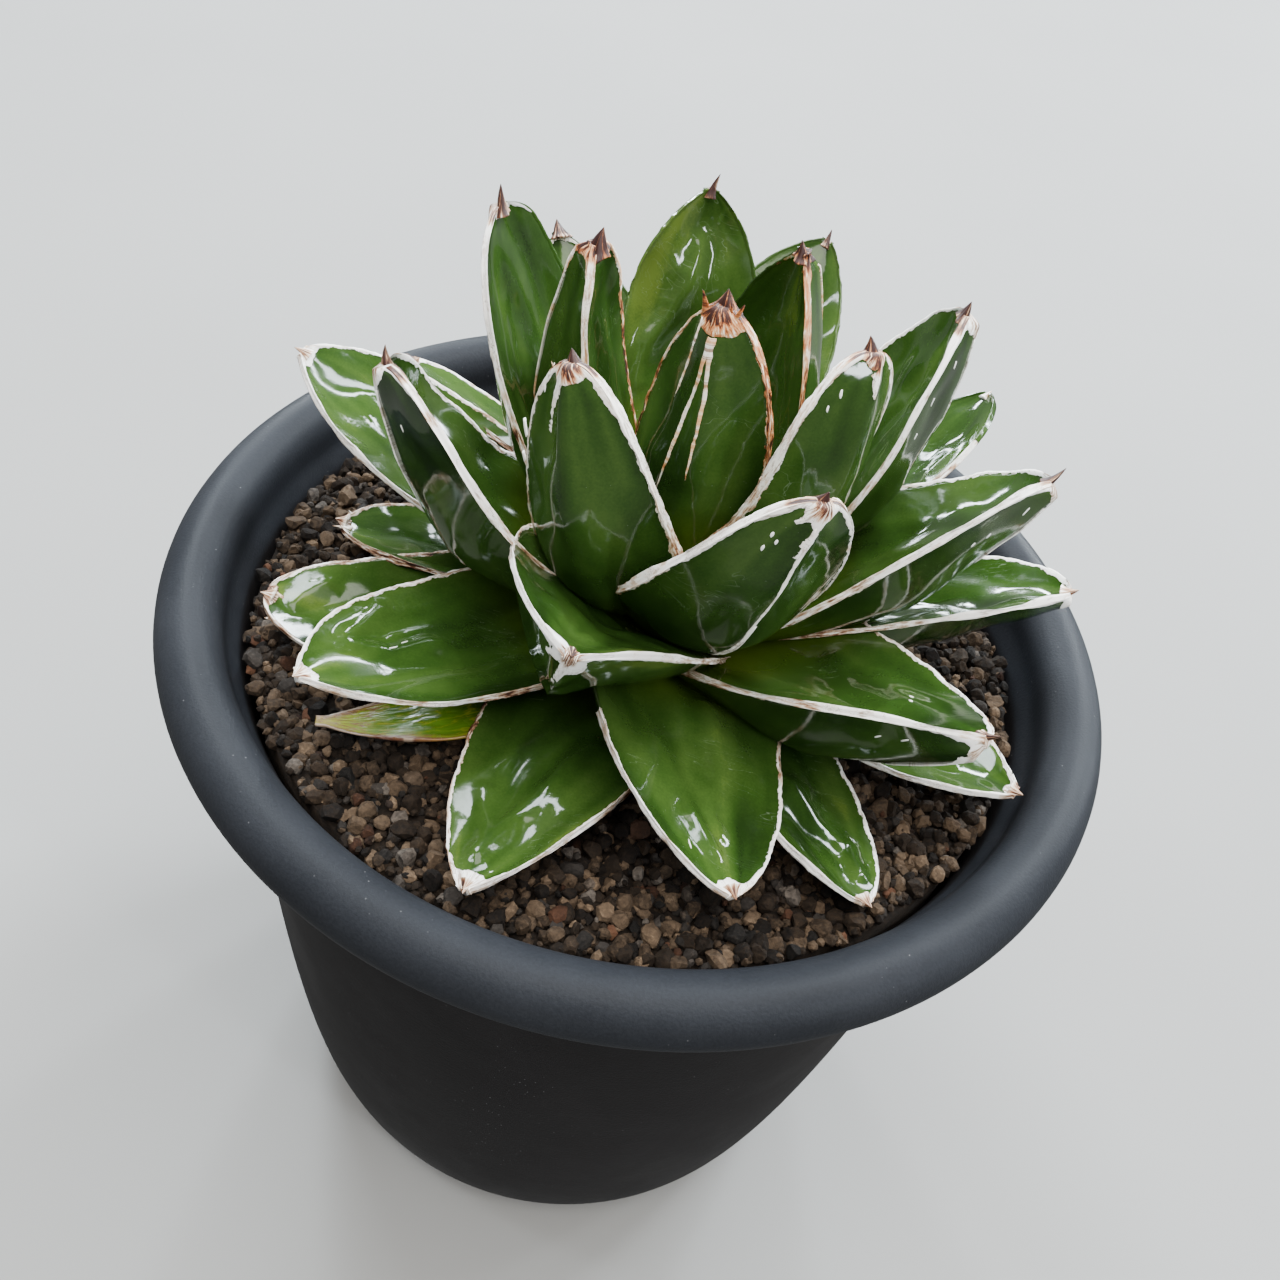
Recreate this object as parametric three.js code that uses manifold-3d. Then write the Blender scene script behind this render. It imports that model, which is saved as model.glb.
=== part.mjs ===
// A queen victoria agave in a round pot: the pot, its gravel soil, the stem with its closed heart, the leaves
// of the rosette, and the white horny border round each leaf, which ends in the leaf's spine.
// Millimetres, +Z up. The origin is the centre of the pot's foot, on the surface that the pot stands on.
import * as THREE from "three";
import { mergeVertices } from "three/addons/utils/BufferGeometryUtils.js";
import Module from "manifold-3d";

const wasm = await Module();
wasm.setup();

// ---- driving dimensions ----
const GAP = 0.3; // clearance between neighbouring pieces

const POT_HEIGHT = 148;
const POT_SIDES = 40;
const RIM_RADIUS = 90; // outer edge of the rolled rim
const RIM_THROAT = 78.3; // inner edge of the rolled rim
const RIM_DEPTH = 12; // rim height, from its top to the wall below it
const WALL_TOP_RADIUS = 77; // outside of the wall where it meets the rim
const WALL_FOOT_RADIUS = 54;
const WALL_SWELL = 0.4; // exponent of the wall's curve: lower makes a fuller foot
const WALL = 2.6;
const FLOOR = 5; // underside recess and floor plate together
const FOOT_RING_INNER = 44;
const FOOT_RECESS = 2;
const DRAIN_RADIUS = 7;

const SOIL_TOP = 137;
const GRAIN_PITCH = 9; // distance between neighbouring grains
const GRAIN_HEIGHT = 2.1;

const PLANT_X = 4; // the rosette stands a little off the pot's axis
const PLANT_Y = 1;
const STEM_SIDES = 12;
const STEM_PROFILE = [ // radius, height over the soil
  [9, -24],
  [14, -12],
  [14.5, 2],
  [12, 14],
  [9.5, 26],
  [8.5, 38],
  [7, 50],
  [4, 62],
  [1.2, 69],
];

const BORDER_WIDTH = 1.3;
const LEAF_EDGE = 1.2; // thickness of the leaf's blunt edge, which carries the border
const WIDEST_AT = 0.32; // place of the greatest width along the leaf
const FOOT_WIDTH = 0.88; // width at the foot, as a share of the greatest width
const BODY_END = 0.955; // the green ends here, and the white cap begins
const KEEL_RIDGE = 0.9; // half width and height of the white line on a keel

// The leaves from the heart outwards. Angles in degrees about the stem from +X, lengths in millimetres.
//   turn, reach, rise      where the tip lies: direction, distance from the stem, height over the soil
//   foot, footRise, swing  where the leaf leaves the stem: radius, height over the soil, angle from the tip's
//   bow, sway              how far the middle bulges outwards, and sideways
//   width, depth           greatest width, and depth of the keel under the upper face
//   roll                   turn about the leaf's own length
//   spine                  length of the dark spine at the tip
//   keel                   station where the white line on the keel begins (1 is no line)
//   taper, blunt           exponents of the outline towards the tip: higher tapers later, lower rounds the end
//   twist                  how much the roll grows from the foot to the tip
//   cup                    how far the edges stand over the middle, as a share of the half width
const LEAF_FIELDS = ["turn", "reach", "rise", "foot", "footRise", "swing", "bow", "sway", "width", "depth", "roll",
  "spine", "keel", "taper", "blunt", "twist", "cup"];
const LEAVES = [
  [248, 8, 78.5, 9, 24.5, 0, 0.5, 2, 24.5, 9, -1, 3, 0.45, 2.4, 0.6, -7, 0.16],
  [336, 22, 77.5, 5, 23.5, -1, 6, -4, 24, 8, -18, 2.5, 0.77, 4.4, 0.5, 1, 0.2],
  [228.5, 34, 74.5, 11, 19.5, 5, 7, 6, 27, 9, 26, 2.2, 1, 2.2, 0.5, -25, 0.2],
  [171, 25, 77, 8.5, 21.5, -2, 4, -2.5, 26, 12.5, 8, 2.5, 0.45, 3, 0.7, -13, 0.16],
  [65, 17.5, 77.5, 9, 20, -1, 3.5, 0, 28.5, 12, -29, 2.5, 1, 3, 1, -9, 0.25],
  [294, 41, 70, 9, 20, -17, 7.5, -3.5, 33.5, 8.5, -4, 2, 0.25, 2.2, 0.5, 16, 0.18],
  [24, 40, 73, 9.5, 19, 3, 4, 0.5, 33.5, 12, -14, 2.5, 0.63, 4.3, 0.7, -28, 0.22],
  [103, 44.5, 70.5, 9, 17.5, 4, 5, 0.5, 27.5, 9, 8, 3, 1, 3.7, 0.8, 6, 0.16],
  [161.5, 45, 74, 11, 16, 8, 3.5, 0.5, 29.5, 9, 5, 3.5, 1, 4.4, 0.55, 3, 0.16],
  [77, 63.5, 56.5, 9, 16, 1, 3, 3, 27.5, 8, -2, 2.5, 1, 3.5, 0.8, 4, 0.16],
  [126, 65, 50, 9, 15, 0, 3, 0, 28, 8, 0, 2.5, 1, 4, 1, 0, 0.16],
  [193, 55, 57, 12, 15.5, 5, 4.5, 4.5, 38.5, 10.5, 14, 3, 0.63, 6, 0.5, 8, 0.32],
  [358, 56.5, 57, 10, 14.5, -2, 1.5, -1.5, 37, 11.5, -13, 2.8, 0.77, 4.3, 0.6, -30, 0.28],
  [257.5, 59, 48, 10.5, 16, -2, -2, -3.5, 38.5, 14, -12, 1.5, 0.63, 2.2, 1, 13, 0.22],
  [41, 69.5, 41, 10, 14, 0, 3.5, -2, 29, 9.5, -32, 2.5, 1, 3.8, 0.7, 7, 0.17],
  [318.5, 68.5, 39, 8.5, 13, 0, 1.5, -1, 36, 14.5, -10, 2, 0.63, 2.6, 0.75, -29, 0.18],
  [174.5, 75, 41, 10.5, 13.5, -1, 3, -0.5, 31, 8, 1, 2, 1, 3.6, 0.8, -6, 0.16],
  [1.5, 70, 32, 10.5, 11.5, -1, 3.5, 3.5, 32.5, 10.5, -18, 2, 1, 4.2, 0.65, -17, 0.24],
  [221, 74.5, 20, 11, 13.5, -4, 3, -1, 32, 7.5, 4, 1.5, 1, 3.9, 0.9, 7, 0.18],
  [147.5, 75.5, 20.5, 10, 12.5, -3, 1, -2.5, 27.5, 4.5, 37, 1.5, 1, 3.3, 0.75, -17, 0.17],
  [108, 68, 20, 10, 12, 0, 1, 0, 29, 7, 0, 2, 1, 4, 1, 0, 0.16],
  [72, 66, 18, 10, 12, 0, 1, 0, 29, 6.5, 0, 2, 1, 4, 1, 0, 0.16],
  [286, 70, 14.5, 9, 13, -11, -2, -2.5, 34.5, 6, -15, 1.2, 1, 2.4, 0.65, -14, 0.17],
  [307, 70.5, 5.5, 9, 8.5, 0, 0.5, 0, 27, 4.5, -18, 1.2, 1, 3.3, 0.7, -12, 0.15],
  [253.5, 76, 7.5, 9.5, 9, 0, 0.5, -0.5, 32.5, 4.5, 7, 1.2, 1, 2.2, 0.75, 28, 0.17],
  [337, 73, 9.5, 9, 8.5, 0, 0, 0.5, 29.5, 4.5, -4, 1.2, 1, 3, 0.8, -10, 0.17],
  [196.5, 75, 7.5, 11, 9, 3, 2, 4.5, 30.5, 4.5, -9, 1.2, 1, 2.2, 0.5, 12, 0.16],
  [177.5, 66, 6.5, 11, 9, -12, 1, -0.5, 26, 4.5, 13, 1.2, 1, 3.5, 0.7, -2, 0.17],
].map((row) => Object.fromEntries(LEAF_FIELDS.map((field, i) => [field, row[i]])));
const WITHERED = { turn: 219, reach: 71, rise: 4.2, foot: 14, footRise: 5, swing: 12, bow: -0.5, sway: 6.5, width: 15,
  depth: 3.5, roll: 4, spine: 0, keel: 1, taper: 2.8, blunt: 1, twist: 0, cup: 0.16 };

const BODY_STATIONS = [0, 0.25, 0.45, 0.63, 0.77, 0.88, BODY_END];
const BORDER_STATIONS = [0.05, ...BODY_STATIONS.slice(1), 0.975];
const CUTTER_STATIONS = [-0.02, ...BODY_STATIONS, 1];

// ---- materials ----
const finish = (color, roughness, metalness = 0) => new THREE.MeshStandardMaterial({ color, roughness, metalness });
const POT_FINISH = finish(0x2a2c2f, 0.6);
const SOIL_FINISH = finish(0x6b5443, 0.95);
const STEM_FINISH = finish(0x5f7a24, 0.4);
const LEAF_FINISH = finish(0x2f5a14, 0.15);
const BORDER_FINISH = finish(0xe9e4da, 0.55);
const WITHERED_FINISH = finish(0x8a8a2c, 0.5);

// ---- solids ----
const clamp01 = (x) => Math.min(1, Math.max(0, x));
const radians = THREE.MathUtils.degToRad;

/** A closed geometry as a manifold solid. */
function solidOf(geometry) {
  const bare = geometry.clone();
  bare.deleteAttribute("normal");
  bare.deleteAttribute("uv");
  const merged = mergeVertices(bare, 1e-4);
  return new wasm.Manifold(new wasm.Mesh({
    numProp: 3,
    vertProperties: merged.attributes.position.array,
    triVerts: new Uint32Array(merged.index.array),
  }));
}

/** A manifold solid as a geometry: only its largest body, without the crumbs that a cut leaves. */
function geometryOf(solid) {
  const bodies = solid.decompose().sort((a, b) => b.volume() - a.volume());
  const mesh = bodies[0].getMesh();
  const geometry = new THREE.BufferGeometry();
  geometry.setAttribute("position", new THREE.BufferAttribute(new Float32Array(mesh.vertProperties), 3));
  geometry.setIndex(new THREE.BufferAttribute(new Uint32Array(mesh.triVerts), 1));
  return geometry;
}

/** A skin over rings of equally many points, closed by flat ends, or by a point where `apex` is given. */
function loftOf(rings, apex = null) {
  const sides = rings[0].length;
  const points = rings.flat();
  const faces = [];
  for (let r = 0; r + 1 < rings.length; r += 1) {
    for (let i = 0; i < sides; i += 1) {
      const j = (i + 1) % sides;
      const [a, b, c, d] = [r * sides + i, r * sides + j, (r + 1) * sides + j, (r + 1) * sides + i];
      faces.push(a, b, c, a, c, d);
    }
  }
  for (let i = 1; i + 1 < sides; i += 1) faces.push(0, i + 1, i);
  const last = (rings.length - 1) * sides;
  if (apex) {
    points.push(apex);
    for (let i = 0; i < sides; i += 1) faces.push(last + i, last + ((i + 1) % sides), points.length - 1);
  } else {
    for (let i = 1; i + 1 < sides; i += 1) faces.push(last, last + i, last + i + 1);
  }
  const geometry = new THREE.BufferGeometry().setFromPoints(points);
  geometry.setIndex(faces);
  return solidOf(geometry);
}

// ---- leaf form ----
/** Place, direction, sideways and upper-face axes of a leaf at `s`, from 0 at the foot to 1 at the tip. */
function frameAt(leaf, s) {
  const along = new THREE.Vector3(Math.cos(radians(leaf.turn)), Math.sin(radians(leaf.turn)), 0);
  const across = new THREE.Vector3(-along.y, along.x, 0);
  const footTurn = radians(leaf.turn + leaf.swing);
  const root = new THREE.Vector3(PLANT_X, PLANT_Y, SOIL_TOP);
  const foot = new THREE.Vector3(leaf.foot * Math.cos(footTurn), leaf.foot * Math.sin(footTurn), leaf.footRise);
  foot.add(root);
  const tip = root.clone().addScaledVector(along, leaf.reach);
  tip.z += leaf.rise;
  const chord = tip.clone().sub(foot);
  const run = Math.hypot(chord.dot(along), chord.z);
  const middle = foot.clone().add(tip).multiplyScalar(0.5);
  middle.addScaledVector(along, (2 * leaf.bow * chord.z) / run);
  middle.z -= (2 * leaf.bow * chord.dot(along)) / run;
  middle.addScaledVector(across, 2 * leaf.sway);
  const curve = new THREE.QuadraticBezierCurve3(foot, middle, tip);
  const place = curve.getPoint(s);
  const ahead = middle.clone().sub(foot).multiplyScalar(1 - s);
  ahead.addScaledVector(tip.clone().sub(middle), s).normalize();
  const side = across.clone().addScaledVector(ahead, -ahead.dot(across)).normalize();
  side.applyAxisAngle(ahead, radians(leaf.roll + leaf.twist * (s - 0.5)));
  return { place, ahead, side, upper: ahead.clone().cross(side) };
}

/** Half of the leaf's width at `s`, its border included. */
function halfWidthAt(leaf, s) {
  const share = s < WIDEST_AT
    ? FOOT_WIDTH + (1 - FOOT_WIDTH) * Math.sin((Math.PI / 2) * (s / WIDEST_AT))
    : (1 - clamp01((s - WIDEST_AT) / (1 - WIDEST_AT)) ** leaf.taper) ** leaf.blunt;
  return Math.max((leaf.width / 2) * share, 1);
}

/** Half of the green body's width at `s`, where a border runs beside it. */
function bodyHalfAt(leaf, s) {
  return Math.max(halfWidthAt(leaf, s) - BORDER_WIDTH - GAP, 0.6);
}

/** Depth of the keel under the upper face's middle at `s`: flat at the foot, deep from the middle, fine at the tip. */
function depthAt(leaf, s) {
  const swell = 0.6 + 0.4 * clamp01(s / 0.4);
  const fade = 0.22 + 0.78 * clamp01((1 - s) / 0.5) ** 0.8;
  return Math.min(leaf.depth * swell * fade, 1.15 * halfWidthAt(leaf, s) + 0.5);
}

/** Height of the upper face at distance `x` from the midrib. */
function upperAt(leaf, s, x) {
  const half = halfWidthAt(leaf, s);
  return leaf.cup * half * ((x / half) ** 2 - 0.35);
}

/** Section points (across, up) into space at `s`. */
function placed(leaf, s, points) {
  const { place, side, upper } = frameAt(leaf, s);
  return points.map(([x, y]) => place.clone().addScaledVector(side, x).addScaledVector(upper, y));
}

/** Outline of the leaf's flesh from the middle of the upper face, round the left edge, keel and right edge. */
function fleshSection(leaf, s, half, grow = 0, keelRoom = 0) {
  const rounding = 2 - clamp01((s - 0.3) / 0.5);
  const rim = upperAt(leaf, s, half);
  const edge = Math.min(LEAF_EDGE, 0.6 * depthAt(leaf, s));
  const under = (share) => {
    const k = share ** rounding;
    return (rim - edge) * k - depthAt(leaf, s) * (1 - k) - grow;
  };
  const wide = half + grow;
  return [
    [0, upperAt(leaf, s, 0) + grow],
    [-wide, rim + grow],
    [-wide, under(1)],
    [-0.55 * half, under(0.55)],
    [0, under(0) - keelRoom],
    [0.55 * half, under(0.55)],
    [wide, under(1)],
    [wide, rim + grow],
  ];
}

/** The green body of a leaf, with `halfAt` as its half width. */
function fleshOf(leaf, halfAt) {
  return loftOf(BODY_STATIONS.map((s) => placed(leaf, s, fleshSection(leaf, s, halfAt(leaf, s)))));
}

/** The whole leaf with its border, grown by the clearance: what the leaves outside it are cut back from. */
function cutterOf(leaf) {
  const keelRoom = leaf.keel < 1 ? GAP + KEEL_RIDGE : 0;
  const rings = CUTTER_STATIONS.map((s) => {
    return placed(leaf, s, fleshSection(leaf, s, halfWidthAt(leaf, s), GAP + 0.15, keelRoom));
  });
  const { place, ahead } = frameAt(leaf, 1);
  return loftOf(rings, place.clone().addScaledVector(ahead, leaf.spine + 1));
}

/** One side's border strip: a three-sided bead along the leaf's blunt edge. */
function stripOf(leaf, hand) {
  return loftOf(BORDER_STATIONS.map((s) => {
    const half = halfWidthAt(leaf, s);
    const inner = bodyHalfAt(leaf, s) + GAP;
    const rim = upperAt(leaf, s, inner);
    const edge = Math.min(LEAF_EDGE, 0.6 * depthAt(leaf, s));
    const points = [
      [hand * inner, rim + 0.2],
      [hand * Math.max(half, inner + 0.8), upperAt(leaf, s, half) - 0.3 * edge],
      [hand * inner, rim - edge - 0.2],
    ];
    return placed(leaf, s, hand > 0 ? points.reverse() : points);
  }));
}

/** The white line on the keel, from `leaf.keel` to the cap. */
function keelLineOf(leaf) {
  const inCap = 0.98;
  const stations = [...BODY_STATIONS.filter((s) => s >= leaf.keel), inCap];
  return loftOf(stations.map((s) => {
    const low = -depthAt(leaf, s) - (s === inCap ? -GAP : GAP);
    const half = s === inCap ? 0.4 * KEEL_RIDGE : KEEL_RIDGE;
    return placed(leaf, s, [[-half, low], [0, low - half], [half, low]]);
  }));
}

/** The horny cap over the tip, drawn out into the spine. */
function capOf(leaf) {
  const length = frameAt(leaf, 1).place.distanceTo(frameAt(leaf, BODY_END).place);
  const start = BODY_END + (1 - BODY_END) * (GAP / length);
  const rings = [start, 0.98, 1].map((s) => {
    const half = halfWidthAt(leaf, s);
    const rim = upperAt(leaf, s, half);
    const edge = 0.5 * depthAt(leaf, s);
    const points = [[0, upperAt(leaf, s, 0) + 0.4], [-half, rim + 0.2], [-half, rim - edge],
      [0, -depthAt(leaf, s) - 0.2], [half, rim - edge], [half, rim + 0.2]];
    return placed(leaf, s, points);
  });
  const { place, ahead, upper } = frameAt(leaf, 1);
  return loftOf(rings, place.clone().addScaledVector(ahead, leaf.spine).addScaledVector(upper, 0.15 * leaf.spine));
}

/** A leaf's whole border: both strips, the cap with its spine, and the line on the keel where there is one. */
function borderOf(leaf) {
  const parts = [stripOf(leaf, 1), stripOf(leaf, -1)];
  if (leaf.keel < 1) parts.push(keelLineOf(leaf));
  return parts.reduce((whole, part) => whole.add(part), capOf(leaf));
}

// ---- stem, soil and pot ----
/** The stem from its cut end in the soil to the closed heart of the rosette. */
function stemOf(grow) {
  const top = STEM_PROFILE.length - 1;
  const profile = STEM_PROFILE.map(([radius, rise]) => new THREE.Vector2(radius + grow, SOIL_TOP + rise));
  profile.unshift(new THREE.Vector2(0, SOIL_TOP + STEM_PROFILE[0][1] - grow));
  profile.push(new THREE.Vector2(0, SOIL_TOP + STEM_PROFILE[top][1] + 1.5 + grow));
  const geometry = new THREE.LatheGeometry(profile, STEM_SIDES);
  return solidOf(geometry.rotateX(Math.PI / 2).translate(PLANT_X, PLANT_Y, 0));
}

/** Radius of the pot's outer wall at height `z`. */
function wallRadius(z) {
  const share = clamp01(z / (POT_HEIGHT - RIM_DEPTH)) ** WALL_SWELL;
  return WALL_FOOT_RADIUS + (WALL_TOP_RADIUS - WALL_FOOT_RADIUS) * share;
}

/** The pot: a wall that swells from its foot ring, a rolled rim, and a floor with a drain. */
function potOf() {
  const rimFoot = POT_HEIGHT - RIM_DEPTH;
  const outside = [1.5, 9, 32, 80].map((z) => [wallRadius(z), z]);
  const rim = [
    [WALL_TOP_RADIUS, rimFoot],
    [RIM_RADIUS - 3, rimFoot + 1.2],
    [RIM_RADIUS, POT_HEIGHT - 6.5],
    [RIM_RADIUS - 1.8, POT_HEIGHT - 2],
    [RIM_RADIUS - 6, POT_HEIGHT],
    [RIM_THROAT + 2.2, POT_HEIGHT - 1.4],
    [RIM_THROAT, POT_HEIGHT - 6],
  ];
  const inside = [rimFoot - 3, 60, 20].map((z) => [wallRadius(z) - WALL, z]);
  const floor = [
    [wallRadius(7) - WALL - 2, FLOOR],
    [DRAIN_RADIUS, FLOOR],
    [DRAIN_RADIUS, FOOT_RECESS],
    [FOOT_RING_INNER - 1, FOOT_RECESS],
    [FOOT_RING_INNER, 0],
    [WALL_FOOT_RADIUS - 1, 0],
  ];
  const loop = [...outside, ...rim, ...inside, ...floor];
  loop.push(loop[0]);
  const profile = loop.map(([radius, z]) => new THREE.Vector2(radius, z));
  return solidOf(new THREE.LatheGeometry(profile, POT_SIDES).rotateX(Math.PI / 2));
}

/** A steady pseudo-random value from 0 to 1 for a place in the grain grid. */
function scatter(i, j, salt) {
  const wave = Math.sin(i * 127.1 + j * 311.7 + salt * 74.7) * 43758.5453;
  return wave - Math.floor(wave);
}

/** The bed of grains: a thick slab over a hexagonal grid, each cell a low six-sided grain with an uneven top. */
function grainBedOf() {
  const rowStep = (GRAIN_PITCH * Math.sqrt(3)) / 2;
  const rows = Math.ceil(RIM_THROAT / rowStep) + 1;
  const low = SOIL_TOP - GRAIN_HEIGHT;
  const triangles = [];
  const add = (...corners) => corners.forEach(([x, y, z]) => triangles.push(new THREE.Vector3(x, y, z)));
  const inBed = (x, y) => Math.hypot(x, y) < RIM_THROAT + GRAIN_PITCH;
  for (let row = -rows; row <= rows; row += 1) {
    for (let column = -rows; column <= rows; column += 1) {
      const x = (column + Math.abs(row % 2) / 2) * GRAIN_PITCH;
      const y = row * rowStep;
      if (!inBed(x, y)) continue;
      const wander = [2, 3].map((salt) => (scatter(column, row, salt) - 0.5) * 0.35 * GRAIN_PITCH);
      const peak = [x + wander[0], y + wander[1], low + GRAIN_HEIGHT * (0.6 + 0.8 * scatter(column, row, 1))];
      const corner = (k) => {
        const angle = Math.PI / 6 + (k * Math.PI) / 3;
        const out = GRAIN_PITCH / Math.sqrt(3);
        return [x + out * Math.cos(angle), y + out * Math.sin(angle)];
      };
      for (let k = 0; k < 6; k += 1) {
        const [a, b] = [corner(k), corner(k + 1)];
        add(peak, [...a, low], [...b, low]);
        add([x, y, 0], [...b, 0], [...a, 0]);
        const beyond = [a[0] + b[0] - x, a[1] + b[1] - y];
        if (!inBed(...beyond)) add([...a, low], [...a, 0], [...b, 0], [...a, low], [...b, 0], [...b, low]);
      }
    }
  }
  return solidOf(new THREE.BufferGeometry().setFromPoints(triangles));
}

/** The soil: a plug that fills the pot, topped by the bed of grains. */
function soilOf() {
  const inset = WALL + 3 * GAP;
  const plug = [
    [0, FLOOR + GAP],
    [wallRadius(7) - inset - 2, FLOOR + GAP],
    ...[20, 60, 120].map((z) => [wallRadius(z) - inset, z]),
    [wallRadius(SOIL_TOP) - inset, SOIL_TOP + GRAIN_HEIGHT],
    [0, SOIL_TOP + GRAIN_HEIGHT],
  ].map(([radius, z]) => new THREE.Vector2(radius, z));
  return solidOf(new THREE.LatheGeometry(plug, POT_SIDES).rotateX(Math.PI / 2)).intersect(grainBedOf());
}

// ---- assembly ----
const group = new THREE.Group();

function addPiece(name, solid, material) {
  const mesh = new THREE.Mesh(geometryOf(solid), material);
  mesh.name = name;
  group.add(mesh);
}

const stem = stemOf(0);
const cutters = [stemOf(GAP)];
const clear = (solid) => cutters.reduce((left, cutter) => left.subtract(cutter), solid);

addPiece("stem", stem, STEM_FINISH);
LEAVES.forEach((leaf, i) => {
  const number = String(i + 1).padStart(2, "0");
  addPiece(`leaf_${number}`, clear(fleshOf(leaf, bodyHalfAt)), LEAF_FINISH);
  addPiece(`border_${number}`, clear(borderOf(leaf)), BORDER_FINISH);
  cutters.push(cutterOf(leaf));
});
addPiece("withered_leaf", clear(fleshOf(WITHERED, halfWidthAt)), WITHERED_FINISH);
cutters.push(cutterOf(WITHERED));
addPiece("soil", clear(soilOf()), SOIL_FINISH);
addPiece("pot", potOf(), POT_FINISH);

export default group;
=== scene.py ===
"""Looks for a queen victoria agave in a round pot.

Fine leaves, horny borders, gravel and the pot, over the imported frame.
"""
import math
from collections import namedtuple

import bpy
import numpy as np
from mathutils import Matrix, Vector


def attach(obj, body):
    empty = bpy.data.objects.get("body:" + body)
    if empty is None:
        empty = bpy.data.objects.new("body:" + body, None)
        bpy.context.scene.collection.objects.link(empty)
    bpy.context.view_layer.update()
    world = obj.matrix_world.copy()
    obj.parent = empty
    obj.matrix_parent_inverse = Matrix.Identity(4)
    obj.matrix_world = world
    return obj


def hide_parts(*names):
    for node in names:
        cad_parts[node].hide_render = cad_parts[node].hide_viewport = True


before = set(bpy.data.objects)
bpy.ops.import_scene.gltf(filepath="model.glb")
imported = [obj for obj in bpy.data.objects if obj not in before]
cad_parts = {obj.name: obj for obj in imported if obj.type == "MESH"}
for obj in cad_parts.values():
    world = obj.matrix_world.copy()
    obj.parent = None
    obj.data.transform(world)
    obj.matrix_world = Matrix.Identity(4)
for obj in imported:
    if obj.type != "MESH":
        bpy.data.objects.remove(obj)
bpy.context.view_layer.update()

MM = 0.001
FULL_TURN = 6.28  # radians, for random angles

# ---------------- the plant's sizes, in millimetres
# the pot's wall widens from its foot to under the rim by a power of the height; the rim is an oval roll,
# whose section has points at steps in degrees
POT_HEIGHT, RIM_DEPTH, POT_SIDES = 148.0, 12.0, 192
RIM_CENTRE, RIM_ROUND, RIM_STEPS = (83.95, 141.65), (6.0, 6.3), range(-62, 181, 22)
WALL_TOP, WALL_FOOT, WALL_SWELL, WALL = 77.0, 54.0, 0.4, 2.6
SOIL_TOP, STEM_CLEAR = 137.0, 32.0
ROOT = np.array([4.0, 1.0, SOIL_TOP])
# the stem's radius at heights over the soil
STEM_PROFILE = [(9, -24), (14, -12), (14.5, 2), (12, 14), (9.5, 26), (8.5, 38), (7, 50), (4, 62), (1.2, 69)]
HEART_LEAVES, HEART_PITCH = 3, 46.0
LEAF_EDGE, WIDEST_AT, FOOT_WIDTH, CUP_LEVEL = 0.8, 0.32, 0.88, 0.35
SWELLS, SWELL_LENGTHS, SWELL_SLOPE = 9, (6, 22), 0.07

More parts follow.
